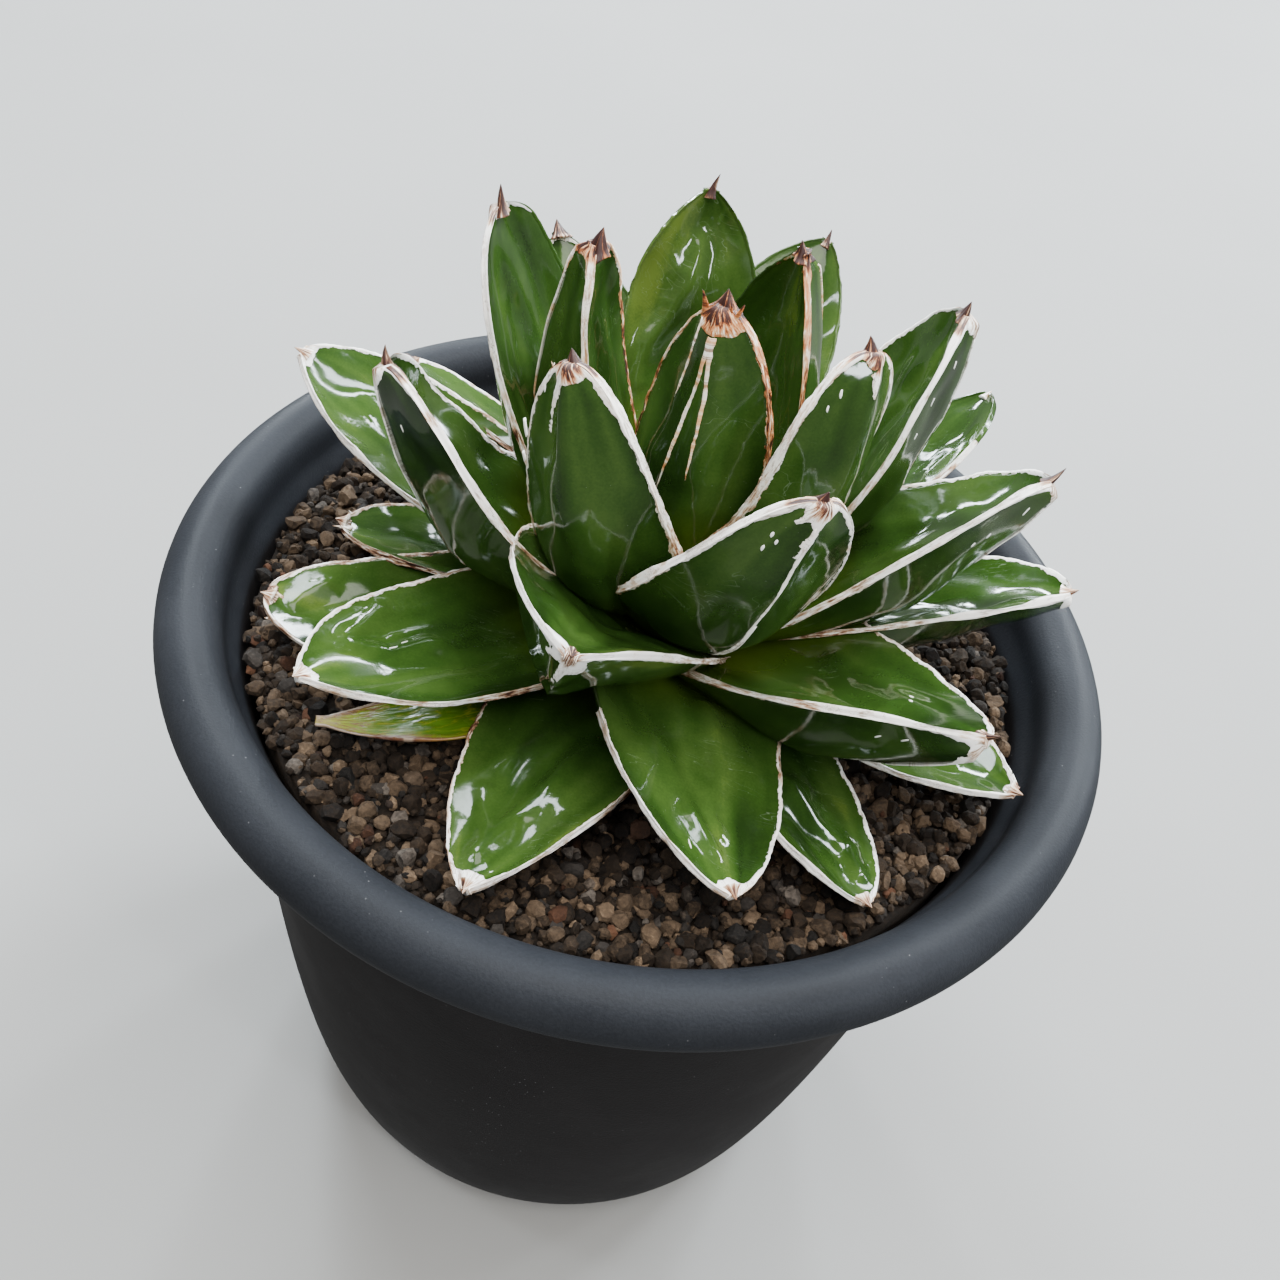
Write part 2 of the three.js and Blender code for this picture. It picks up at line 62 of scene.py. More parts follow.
# one row for each leaf from the heart outwards, and the withered leaf's last; angles are in degrees
FIELDS = "turn reach rise foot foot_rise swing bow sway width depth roll spine taper blunt twist cup"
ROWS = [
    (248, 8, 78.5, 9, 24.5, 0, 0.5, 2, 24.5, 9, -1, 3, 2.4, 0.6, -7, 0.16),
    (336, 22, 77.5, 5, 23.5, -1, 6, -4, 24, 8, -18, 2.5, 4.4, 0.5, 1, 0.2),
    (228.5, 34, 74.5, 11, 19.5, 5, 7, 6, 27, 9, 26, 2.2, 2.2, 0.5, -25, 0.2),
    (171, 25, 77, 8.5, 21.5, -2, 4, -2.5, 26, 12.5, 8, 2.5, 3, 0.7, -13, 0.16),
    (65, 17.5, 77.5, 9, 20, -1, 3.5, 0, 28.5, 12, -29, 2.5, 3, 1, -9, 0.25),
    (294, 41, 70, 9, 20, -17, 7.5, -3.5, 33.5, 8.5, -4, 2, 2.2, 0.5, 16, 0.18),
    (24, 40, 73, 9.5, 19, 3, 4, 0.5, 33.5, 12, -14, 2.5, 4.3, 0.7, -28, 0.22),
    (103, 44.5, 70.5, 9, 17.5, 4, 5, 0.5, 27.5, 9, 8, 3, 3.7, 0.8, 6, 0.16),
    (161.5, 45, 74, 11, 16, 8, 3.5, 0.5, 29.5, 9, 5, 3.5, 4.4, 0.55, 3, 0.16),
    (77, 63.5, 56.5, 9, 16, 1, 3, 3, 27.5, 8, -2, 2.5, 3.5, 0.8, 4, 0.16),
    (126, 65, 50, 9, 15, 0, 3, 0, 28, 8, 0, 2.5, 4, 1, 0, 0.16),
    (193, 55, 57, 12, 15.5, 5, 4.5, 4.5, 38.5, 10.5, 14, 3, 6, 0.5, 8, 0.32),
    (358, 56.5, 57, 10, 14.5, -2, 1.5, -1.5, 37, 11.5, -13, 2.8, 4.3, 0.6, -30, 0.28),
    (257.5, 59, 48, 10.5, 16, -2, -2, -3.5, 38.5, 14, -12, 1.5, 2.2, 1, 13, 0.22),
    (41, 69.5, 41, 10, 14, 0, 3.5, -2, 29, 9.5, -32, 2.5, 3.8, 0.7, 7, 0.17),
    (318.5, 68.5, 39, 8.5, 13, 0, 1.5, -1, 36, 14.5, -10, 2, 2.6, 0.75, -29, 0.18),
    (174.5, 75, 41, 10.5, 13.5, -1, 3, -0.5, 31, 8, 1, 2, 3.6, 0.8, -6, 0.16),
    (1.5, 70, 32, 10.5, 11.5, -1, 3.5, 3.5, 32.5, 10.5, -18, 2, 4.2, 0.65, -17, 0.24),
    (221, 74.5, 20, 11, 13.5, -4, 3, -1, 32, 7.5, 4, 1.5, 3.9, 0.9, 7, 0.18),
    (147.5, 75.5, 20.5, 10, 12.5, -3, 1, -2.5, 27.5, 4.5, 37, 1.5, 3.3, 0.75, -17, 0.17),
    (108, 68, 20, 10, 12, 0, 1, 0, 29, 7, 0, 2, 4, 1, 0, 0.16),
    (72, 66, 18, 10, 12, 0, 1, 0, 29, 6.5, 0, 2, 4, 1, 0, 0.16),
    (286, 70, 14.5, 9, 13, -11, -2, -2.5, 34.5, 6, -15, 1.2, 2.4, 0.65, -14, 0.17),
    (307, 70.5, 5.5, 9, 8.5, 0, 0.5, 0, 27, 4.5, -18, 1.2, 3.3, 0.7, -12, 0.15),
    (253.5, 76, 7.5, 9.5, 9, 0, 0.5, -0.5, 32.5, 4.5, 7, 1.2, 2.2, 0.75, 28, 0.17),
    (337, 73, 9.5, 9, 8.5, 0, 0, 0.5, 29.5, 4.5, -4, 1.2, 3, 0.8, -10, 0.17),
    (196.5, 75, 7.5, 11, 9, 3, 2, 4.5, 30.5, 4.5, -9, 1.2, 2.2, 0.5, 12, 0.16),
    (177.5, 66, 6.5, 11, 9, -12, 1, -0.5, 26, 4.5, 13, 1.2, 3.5, 0.7, -2, 0.17),
    (219, 71, 4.2, 14, 5, 12, -0.5, 6.5, 15, 3.5, 4, 0, 2.8, 1, 0, 0.16),
]
Leaf = namedtuple("Leaf", FIELDS + " number")
*LEAVES, WITHERED = (Leaf(*row, number) for number, row in enumerate(ROWS, 1))

# how tan a leaf's border is (0 white, 1 tan all over), where it isn't nearly white
TANNED = {1: 0.75, 2: 0.2, 3: 0.15, 4: 0.6, 5: 0.7, 20: 0.35, 25: 0.35, 27: 0.4, 28: 0.6}
# how orange the tan of a leaf's border is, where it isn't a dull one
ORANGE = {1: 1.0, 4: 0.9, 5: 0.9, 2: 0.6, 3: 0.6, 6: 0.4}


# ---------------- steady noise
KNOTS, GRID, SHIFT = 256, 64, 64  # sizes of the noises' lattices, and how far an octave may be shifted
OCTAVE_SHARE, REACH = 0.55, 1.9  # what an octave keeps of the one before, and how far their sum reaches


def ease(t):
    return t * t * (3 - 2 * t)


def smooth(a, b, x):
    """An eased step from 0 at a to 1 at b."""
    return ease(np.clip((np.asarray(x, float) - a) / (b - a), 0, 1))


def wave_noise(x, seed, octaves=4):
    """Smooth noise from -1 to 1 along x, which repeats for a seed."""
    rng = np.random.RandomState(seed)
    x = np.asarray(x, float)
    total = np.zeros_like(x)
    for octave in range(octaves):
        knots = rng.uniform(-1, 1, KNOTS)
        place = x * 2.0 ** octave + rng.uniform(0, SHIFT)
        low = np.floor(place).astype(int)
        t = ease(place - low)
        total += (knots[low % KNOTS] * (1 - t) + knots[(low + 1) % KNOTS] * t) * OCTAVE_SHARE ** octave
    return total / REACH


def plane_noise(x, y, seed, octaves=3):
    """Smooth noise from -1 to 1 over a plane, which repeats for a seed."""
    rng = np.random.RandomState(seed)
    total = np.zeros(np.broadcast(x, y).shape)
    for octave in range(octaves):
        grid = rng.uniform(-1, 1, (GRID, GRID))
        across, up = (v * 2.0 ** octave + rng.uniform(0, SHIFT) for v in (x, y))
        i, j = np.floor(across).astype(int), np.floor(up).astype(int)
        a, b = ease(across - i), ease(up - j)
        left, right = i % GRID, (i + 1) % GRID
        near, far = (grid[left, k % GRID] * (1 - a) + grid[right, k % GRID] * a for k in (j, j + 1))
        total += (near * (1 - b) + far * b) * OCTAVE_SHARE ** octave
    return total / REACH


# ---------------- leaf form
def frames(leaf, s):
    """Place, direction, sideways and upper axes at each station, straight on past the tip."""
    s = np.atleast_1d(np.asarray(s, float))
    turn = math.radians(leaf.turn)
    along = np.array([math.cos(turn), math.sin(turn), 0.0])
    across = np.array([-along[1], along[0], 0.0])
    foot_turn = math.radians(leaf.turn + leaf.swing)
    foot_x, foot_y = leaf.foot * math.cos(foot_turn), leaf.foot * math.sin(foot_turn)
    foot = ROOT + [foot_x, foot_y, leaf.foot_rise]
    tip = ROOT + along * leaf.reach + [0, 0, leaf.rise]
    chord = tip - foot
    run = math.hypot(chord @ along, chord[2])
    middle = (foot + tip) / 2 + along * (2 * leaf.bow * chord[2] / run) + across * (2 * leaf.sway)
    middle[2] -= 2 * leaf.bow * (chord @ along) / run
    inside = np.minimum(s, 1.0)[:, None]
    place = (1 - inside) ** 2 * foot + 2 * inside * (1 - inside) * middle + inside ** 2 * tip
    ahead = (1 - inside) * (middle - foot) + inside * (tip - middle)
    speed = 2 * np.linalg.norm(ahead, axis=1, keepdims=True)
    ahead /= np.linalg.norm(ahead, axis=1, keepdims=True)
    place = place + ahead * (np.maximum(s, 1.0)[:, None] - 1) * speed
    side = across - ahead * (ahead @ across)[:, None]
    side /= np.linalg.norm(side, axis=1, keepdims=True)
    upper = np.cross(ahead, side)
    roll = np.radians(leaf.roll + leaf.twist * (np.minimum(s, 1.0) - 0.5))[:, None]
    side = side * np.cos(roll) + upper * np.sin(roll)
    return place, ahead, side, np.cross(ahead, side)


def half_width(leaf, s):
    """Half of a leaf's width: it grows a little from the foot, then closes to a blunt tip."""
    s = np.asarray(s, float)
    foot = FOOT_WIDTH + (1 - FOOT_WIDTH) * np.sin(math.pi / 2 * np.clip(s / WIDEST_AT, 0, 1))
    tip = (1 - np.clip((s - WIDEST_AT) / (1 - WIDEST_AT), 0, 1) ** leaf.taper) ** leaf.blunt
    return np.maximum(leaf.width / 2 * np.where(s < WIDEST_AT, foot, tip), 1.0)


# the share of its length over which a leaf's keel fades to the tip, where it isn't half
KEEL_FADE = {14: 0.3}


def depth(leaf, s):
    """How deep the keel stands under a leaf's middle plane."""
    swell = 0.6 + 0.4 * np.clip(s / 0.4, 0, 1)
    fade = 0.22 + 0.78 * np.clip((1 - s) / KEEL_FADE.get(leaf.number, 0.5), 0, 1) ** 0.8
    return np.minimum(leaf.depth * swell * fade, 1.15 * half_width(leaf, s) + 0.5)


def margin(leaf, s):
    """How high a leaf's edge stands over its middle plane, and how thick it is."""
    return leaf.cup * half_width(leaf, s) * (1 - CUP_LEVEL), np.minimum(LEAF_EDGE, 0.6 * depth(leaf, s))


def length_of(leaf):
    """A leaf's length along its midrib."""
    place = frames(leaf, np.linspace(0, 1, 24))[0]
    return np.linalg.norm(np.diff(place, axis=0), axis=1).sum()


def swells(leaf, s, u, is_upper):
    """Crossing swells of a leaf's skin in millimetres: each tilts it by about two degrees."""
    rng = np.random.RandomState(900 + leaf.number)
    x, y = u * half_width(leaf, s), s * length_of(leaf)
    total = 0.0
    for _ in range(SWELLS):
        length, way, phase = rng.uniform(*SWELL_LENGTHS), rng.normal(0, 0.75), rng.uniform(0, FULL_TURN)
        turn = 2 * math.pi / length
        under = np.where(is_upper, 0.0, rng.uniform(0, FULL_TURN))
        wave = np.sin(turn * (x * math.cos(way) + y * math.sin(way)) + phase + under)
        total = total + SWELL_SLOPE / turn * wave
    return total


# creases that neighbours pressed into a leaf's upper face in bud:
# leaf -> lines of (station, distance from the midrib)
CREASES = {
    8: [((0.84, 0.0), (0.74, 1.2), (0.64, 4.0), (0.55, 7.6), (0.44, 9.3))],
    16: [((0.4, 7.8), (0.54, 2.3), (0.69, 0.7))],
    19: [((0.8, -5.4), (0.71, -2.4), (0.6, -2.5), (0.54, 2.6), (0.39, 2.1)), ((0.8, -7.4), (0.67, -12.0))],
    23: [((0.37, 4.4), (0.52, 4.7), (0.66, 3.4), (0.76, 0.2), (0.81, 1.2)), ((0.78, -3.5), (0.87, -1.0))],
    24: [((0.6, -0.2), (0.72, 0.2), (0.8, 2.9)), ((0.81, 5.0), (0.91, 2.3))],
    25: [((0.47, 5.4), (0.56, 3.4), (0.66, 1.8), (0.8, -0.5), (0.89, -1.5)), ((0.71, -6.5), (0.83, -1.8))],
    27: [((0.92, 0.1), (0.85, -5.5))],
}
CREASE_RISE, CREASE_SPAN = 0.8, 1.9
# low outer leaves whose upper face swells before it falls to the tip: leaf -> rise in millimetres
HUMPS = {23: 2.0, 24: 1.5, 25: 2.0}


def stroke_field(back, x, points):
    """How far each place lies inside a tapered stroke, in millimetres."""
    best = np.full(back.shape, -9.0)
    for (b0, x0, w0), (b1, x1, w1) in zip(points, points[1:]):
        along_b, along_x = b1 - b0, x1 - x0
        t = np.clip(((back - b0) * along_b + (x - x0) * along_x) / (along_b ** 2 + along_x ** 2), 0, 1)
        gap = np.hypot(back - b0 - t * along_b, x - x0 - t * along_x)
        best = np.maximum(best, w0 + (w1 - w0) * t - gap)
    return best


def crease_height(leaf, s, u):
    """How high the creases stand over a leaf's upper face."""
    x, y = np.broadcast_arrays(u * half_width(leaf, s), s * length_of(leaf))
    span = CREASE_SPAN * (1 + 0.4 * plane_noise(x * 0.4, y * 0.4, 40 + leaf.number))
    total = np.zeros(x.shape)
    for line in CREASES.get(leaf.number, []):
        gap = stroke_field(y, x, [(station * length_of(leaf), off, 0) for station, off in line])
        total = np.maximum(total, CREASE_RISE * np.exp(-(gap / span) ** 2))
    return total


def relief(leaf, s, u, is_upper):
    """The skin's swells, creases and humps, and the raised prints that neighbours left on it in bud."""
    number = leaf.number
    rng = np.random.RandomState(700 + number)
    end, share, shift = rng.uniform(0.7, 0.86), rng.uniform(0.42, 0.62), rng.uniform(-0.14, 0.14)
    # a print is the outline of a leaf that lay here: an arch over the midrib, with a low ridge along it
    arch = share * np.sqrt(np.clip(1 - (s / end) ** 2.6, 0, 1))
    off = (np.abs(u - shift) - arch) * half_width(leaf, s)
    print_height = np.where(is_upper, 0.0 if number in CREASES else 0.3, 0.09) * smooth(0.12, 0.4, s)
    ridge = print_height * np.exp(-(off / 0.8) ** 2) * smooth(end + 0.04, end - 0.05, s)
    hump = HUMPS.get(number, 0) * smooth(0.2, 0.5, s) * smooth(0.92, 0.56, s)
    hump = hump * np.clip(1 - u ** 2, 0, 1) ** 2
    ridge = ridge + np.where(is_upper, crease_height(leaf, s, u) + hump, 0.0)
    inside = smooth(1.2, -1.2, off) * smooth(end, end - 0.12, s)
    fade = smooth(1.0, 0.9, s) * (1 - 0.75 * np.abs(u) ** 3)
    return swells(leaf, s, u, is_upper) * (0.4 + 0.6 * fade) + (ridge - 0.12 * inside) * fade, inside


def skin_height(leaf, s, u, is_upper):
    """Height over the leaf's middle plane at share u of the half width, on either face."""
    top = leaf.cup * half_width(leaf, s) * (u ** 2 - CUP_LEVEL)
    rim, edge = margin(leaf, s)
    rounding = 2 - np.clip((s - 0.3) / 0.5, 0, 1)
    soft = np.sqrt(u ** 2 + 0.0016)  # a keel with a fine rounding
    k = np.clip(soft, 0, 1) ** rounding
    low = (rim - edge) * k - depth(leaf, s) * (1 - k)
    bump, _ = relief(leaf, s, u, is_upper)
    return np.where(is_upper, top + bump, low - 0.6 * bump)


def in_space(leaf, s, x, y):
    """Points at the stations s, x across and y up, in millimetres: one or more at each station."""
    spread = (slice(None),) + (None,) * (np.ndim(x) - 1)
    place, _, side, upper = (axis[spread] for axis in frames(leaf, s))
    return place + side * np.asarray(x)[..., None] + upper * np.asarray(y)[..., None]


# ---------------- meshes
def add_object(name, data):
    """A new object of the scene, which shows a mesh, a lamp or a camera."""
    thing = bpy.data.objects.new(name, data)
    bpy.context.scene.collection.objects.link(thing)
    return thing


def make_piece(name, points, faces, attributes, material, node, rounded=True):
    """A mesh piece from points in millimetres; it rides on the plant and stands for a node of the frame."""
    mesh = bpy.data.meshes.new(name)
    corners = [tuple(p) for p in np.asarray(points) * MM]
    mesh.from_pydata(corners, [], [tuple(int(i) for i in f) for f in faces])
    mesh.validate()
    mesh.polygons.foreach_set("use_smooth", np.full(len(mesh.polygons), rounded))
    for key, values in attributes.items():
        layer = mesh.attributes.new(key, "FLOAT", "POINT")
        layer.data.foreach_set("value", np.asarray(values, np.float32))
    mesh.materials.append(material)
    piece = add_object(name, mesh)
    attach(piece, "root")
    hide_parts(node)
    return piece


def around(sides):
    """Evenly spaced angles round a circle."""
    return np.linspace(0, 2 * math.pi, sides, endpoint=False)


def turned(radius, angles, z):
    """Points round the vertical axis at a radius and a height."""
    return np.stack(np.broadcast_arrays(radius * np.cos(angles), radius * np.sin(angles), z), -1)


def tube_faces(rings, sides, first=0, capped=True):
    """Quads round a stack of closed rings, with a face over each end."""
    r, i = np.meshgrid(np.arange(rings - 1) * sides, np.arange(sides), indexing="ij")
    j = (i + 1) % sides
    quads = np.stack([r + i, r + j, r + sides + j, r + sides + i], -1).reshape(-1, 4)
    faces = [tuple(q) for q in quads + first]
    if capped:
        faces.append(tuple(first + k for k in reversed(range(sides))))
        faces.append(tuple(first + (rings - 1) * sides + k for k in range(sides)))
    return faces


class Gather:
    """Several closed tubes gathered into one mesh, with one value per point for each attribute."""

    def __init__(self, *keys):
        self.points, self.faces, self.values, self.count = [], [], {k: [] for k in keys}, 0

    def add(self, rings, **values):
        """rings: stations x sides x 3. Each value is a number, or one per station, or one per point."""
        stations, sides = rings.shape[:2]
        self.faces += tube_faces(stations, sides, self.count)
        self.points.append(rings.reshape(-1, 3))
        for key, store in self.values.items():
            value = np.asarray(values.get(key, 0.0), float)
            if value.ndim == 1:
                value = value[:, None]
            store.append(np.broadcast_to(value, (stations, sides)).ravel())
        self.count += stations * sides

    def piece(self, name, material, node, slot_name):
        points = np.concatenate(self.points)
        attributes = {key: np.concatenate(store) for key, store in self.values.items()}
        return make_piece(name, points, self.faces, attributes, material, node)


# ---------------- leaves
def leaf_seed(leaf):
    """A steady number from 0 to 1 by which one leaf's colour differs from the next."""
    return leaf.number * 0.37 % 1


def leaf_grid(s, upper_steps, lower_steps):
    """Stations, shares across and faces of rings round a leaf: the underside, then the upper face back."""
    over = np.sin(np.linspace(-math.pi / 2, math.pi / 2, upper_steps))
    under = np.sin(np.linspace(math.pi / 2, -math.pi / 2, lower_steps))
    share = np.concatenate([over, under])[::-1]
    S, U = np.meshgrid(s, share, indexing="ij")
    return S, U, np.broadcast_to(np.arange(len(share)) >= lower_steps, S.shape)


def build_leaf(leaf, material, node, slot_name, inset=0.35, stations=68):
    """A leaf's green skin, set in from its margin. A leaf with creases has a finer mesh."""
    stations, upper_steps = (108, 51) if leaf.number in CREASES else (stations, 31)
    s = np.concatenate([np.linspace(0.0, 0.9, stations), np.linspace(0.906, 0.992, 16)])
    S, U, F = leaf_grid(s, upper_steps, 21)
    half = half_width(leaf, S)
    X = U * (half - inset)
    height = skin_height(leaf, S, X / half, F)
    _, inside = relief(leaf, S, X / half, F)
    gather = Gather("along", "across", "upper_face", "print_area", "leaf_seed")
    gather.add(in_space(leaf, s, X, height), along=S, across=U, upper_face=F, print_area=inside,
               leaf_seed=leaf_seed(leaf))
    return gather.piece(f"{node}_skin", material, node, slot_name)


# ---------------- horny borders
HORN_KEYS = "age warm inside flow grain along across upper_face print_area leaf_seed".split()
# lift of the horn over the skin at a distance inside its ragged limit, in millimetres; outside, it dives in
LIFT_AT, LIFT = (-0.75, -0.3, 0.0, 0.25, 0.8), (-0.4, -0.06, 0.03, 0.12, 0.17)
# the first station of a leaf's border, or of one hand's, past which it stands free of its neighbours
BORDER_START = {19: 0.16, 23: 0.3, (23, -1): 0.49, 24: 0.3, 25: 0.2, 26: 0.3, 27: 0.3, 28: 0.3}
# margins whose horn has worn off to a green toothed edge: (leaf, hand) -> the station where it ends
BARE = {(5, 1): 0.55, (8, 1): 0.45, (8, -1): 0.45, (9, -1): 0.5, (10, 1): 0.4, (10, -1): 0.4, (11, 1): 0.4,
        (11, -1): 0.4, (15, 1): 0.75, (15, -1): 0.8}


# the lines along a margin's horn: how far inside the limit they lie over and under the leaf, and round the
# edge how far they stand out and how far down they lie
OVER_LINES, UNDER_LINES = (-0.75, -0.3, 0.0, 0.25, 0.6), (0.45, 0.25, 0.0, -0.3, -0.75)
EDGE_LINES = ((0.08, 0.12), (0.13, 0.5), (0.08, 0.88))

# what the tip of a leaf carries: the cap's reach in millimetres over the upper face and the keeled side,
# how far its arms run along the two margins, the keel arm's length and half width, and the spine's stain
Tip = namedtuple("Tip", "cap arms keel stain")
PLAIN_TIP = Tip((2.2, 2.2), (6.0, 6.0), (4.0, 0.7), 0.5)
TIPS = {
    1: Tip((2.5, 4.2), (3.0, 3.0), (0.1, 0.1), 1.0), 2: Tip((2.0, 2.4), (9.0, 5.0), (6.5, 0.7), 0.75),
    3: Tip((1.5, 2.7), (10.0, 8.0), (0.1, 0.1), 0.9), 4: Tip((1.5, 2.3), (7.0, 4.0), (9.0, 0.6), 0.8),
    5: Tip((1.5, 2.4), (8.0, 9.0), (5.0, 0.6), 0.7), 6: Tip((1.5, 2.6), (9.0, 7.0), (9.0, 0.8), 0.8),
    7: Tip((2.0, 2.4), (6.0, 6.0), (6.0, 0.6), 0.5), 8: Tip((0.6, 0.8), (0.1, 0.1), (0.1, 0.1), 0.6),
    9: Tip((2.2, 2.2), (4.0, 5.0), (2.0, 0.5), 0.7), 10: Tip((0.6, 0.8), (0.1, 0.1), (0.1, 0.1), 0.5),
    12: Tip((2.0, 2.3), (6.0, 9.0), (5.0, 0.7), 0.7), 13: Tip((1.7, 1.7), (8.0, 8.0), (5.0, 0.5), 0.45),
    14: Tip((1.8, 1.8), (9.0, 8.0), (0.1, 0.1), 0.6), 15: Tip((0.5, 0.5), (0.1, 0.1), (0.1, 0.1), 0.1),
    16: Tip((2.6, 2.4), (8.0, 9.0), (6.0, 0.6), 0.42), 17: Tip((3.0, 2.5), (5.0, 5.0), (3.0, 0.6), 0.1),
    18: Tip((2.6, 2.5), (9.0, 9.0), (3.0, 0.6), 0.15), 19: Tip((3.2, 3.0), (6.0, 9.0), (3.0, 0.6), 0.15),
    23: Tip((3.0, 3.0), (6.0, 6.0), (3.0, 0.6), 0.3), 25: Tip((4.0, 3.0), (6.0, 7.0), (3.0, 0.6), 0.1),
}


def margin_age(leaf, s, flow, seed):
    """How aged a margin's horn is: most at its foot, on the outer leaves, in scabs and round the spine."""
    number = leaf.number
    tan, outer = TANNED.get(number, 0.12), 0.42 if number > 16 else 0.32
    age = tan * (0.6 + 0.5 * wave_noise(flow * 0.09, seed + 6, 2)) + outer * smooth(0.9, 0.2, s)
    age = age + 0.3 * smooth(0.35, 0.05, s)
    age = age + 0.35 * smooth(0.25, 0.75, wave_noise(flow * 0.14, seed + 7, 3))
    back = (1 - s) * length_of(leaf) + wave_noise(flow * 0.8, seed + 4)
    age = np.clip(age, 0, 0.75) + TIPS.get(number, PLAIN_TIP).stain * smooth(2.6, 0.6, back)
    return np.clip(age, 0, 1.1)


def edge_strip(leaf, hand, gather):
    """One side's horny margin, wrapped over the leaf's blunt edge, with ragged limits on both faces."""
    number = leaf.number
    seed = number * 10 + (1 if hand > 0 else 2)
    start = BORDER_START.get((number, hand), BORDER_START.get(number, 0.05))
    s = np.concatenate([np.linspace(start, 0.86, 84), np.linspace(0.865, 0.998, 26)])
    flow = s * length_of(leaf)
    half = half_width(leaf, s)
    rim, edge = margin(leaf, s)
    bare_from = BARE.get((number, hand), 9.0)
    bare = smooth(bare_from, bare_from + 0.06, s + 0.02 * wave_noise(flow * 0.5, seed + 8))
    narrow = 0.55 + 0.45 * smooth(0.05, 0.35, s)
    # how far the horn reaches in over each face, in millimetres
    over = 0.28 + 0.42 * wave_noise(flow * 0.22, seed) + 0.14 * wave_noise(flow * 1.1, seed + 1)
    below = 0.22 + 0.35 * wave_noise(flow * 0.25, seed + 2) + 0.12 * wave_noise(flow * 1.1, seed + 3)
    over, below = np.clip(over * narrow, 0.12, 1.4), np.clip(below * narrow, 0.1, 1.1)
    # a margin without horn has green teeth
    tooth = bare * 0.55 * np.clip(wave_noise(flow * 0.9, seed + 9), 0, 1)
    lines = []

    def lay_on_face(limit, insides, face, sign):
        """Lines of horn on the upper face (1) or the keeled side (0)."""
        for inside in insides:
            x = np.maximum(half - limit + inside, 0)
            y = skin_height(leaf, s, hand * x / half, np.full(s.shape, bool(face)))
            lines.append((x, y + sign * np.interp(inside, LIFT_AT, LIFT), inside, face))

    lay_on_face(over, OVER_LINES, 1, 1)
    for out, down in EDGE_LINES:
        lines.append((half + out + tooth, rim - down * edge + 0.1 * (0.5 - down), 1.0, 1 - down))
    lay_on_face(below, UNDER_LINES, 0, -1)
    lines = lines[::hand]
    rings = np.stack([in_space(leaf, s, hand * x, y) for x, y, _, _ in lines], 1)
    across = np.stack([hand * x / half for x, _, _, _ in lines], 1)
    inside = np.array([line[2] for line in lines])[None] - 3.0 * bare[:, None]
    face = np.broadcast_to([line[3] for line in lines], rings.shape[:2])
    grain = np.broadcast_to((np.arange(len(lines)) * 0.22)[::hand], rings.shape[:2])
    age = margin_age(leaf, s, flow, seed)
    gather.add(rings, age=age, warm=ORANGE.get(number, 0.25), inside=inside, flow=flow, grain=grain,
               along=s, across=across, upper_face=face, leaf_seed=leaf_seed(leaf))


# white strokes on a leaf near its tip:
# leaf -> (on the upper face, ((back from the tip, across, half width), ...))
STROKES = {
    14: [(0, ((0.5, 0, 1.0), (4, -0.3, 0.6), (8, -0.4, 0.3), (11, -0.2, 0.2))),
         (0, ((0.5, 0.2, 1.2), (3.5, 1.4, 1.2), (6, 2.6, 0.6))),
         (0, ((0.6, -0.5, 1.0), (3, -2.0, 0.7), (5.5, -3.4, 0.3))),
         (1, ((1, -0.4, 0.9), (5, -2.8, 1.3), (6.5, -4.6, 0.6)))],
    6: [(0, ((1, -1.0, 0.9), (3.4, -3.2, 0.35)))],
    3: [(0, ((1, 0, 0.9), (6, -2.5, 0.5), (10, -3.4, 0.3)))],
}


def tip_field(leaf, s, x, is_upper):
    """How far each place near the tip lies inside the horn, in millimetres, and how stained the horn is."""
    number = leaf.number
    tip = TIPS.get(number, PLAIN_TIP)
    back = (1 - s) * length_of(leaf)
    half = half_width(leaf, s)
    rag = plane_noise(x * 0.5, back * 0.5, 60 + number, 4)
    cap = np.where(is_upper, *tip.cap) - np.hypot(back, 0.8 * x)
    # the arms run down the margins, and one more runs down the keel
    run = back / np.where(x > 0, *tip.arms)
    arms = 0.3 + 0.85 * smooth(1.0, 0.0, run) - (half - np.abs(x)) - 3 * smooth(0.7, 1.3, run)
    long, wide = tip.keel
    keel = wide * (1.5 - back / long) - np.abs(x + 0.5 * rag) - 9 * (back > long)
    keel = np.where(is_upper, -9.0, keel)
    field = np.maximum(np.maximum(cap, arms), keel) + 0.7 * rag
    for on_upper, points in STROKES.get(number, []):
        stroke = stroke_field(back, x, points) + 0.35 * rag
        field = np.where(is_upper == bool(on_upper), np.maximum(field, stroke), field)
    angle = np.arctan2(x, back + 1.0)
    streak = plane_noise(angle * 4.0, back * 0.12, 90 + number, 3)
    stain = tip.stain * smooth(3.6, 0.4, np.hypot(back, 1.1 * x) - 1.6 * streak) * (1 + 0.3 * rag)
    return field, stain, angle


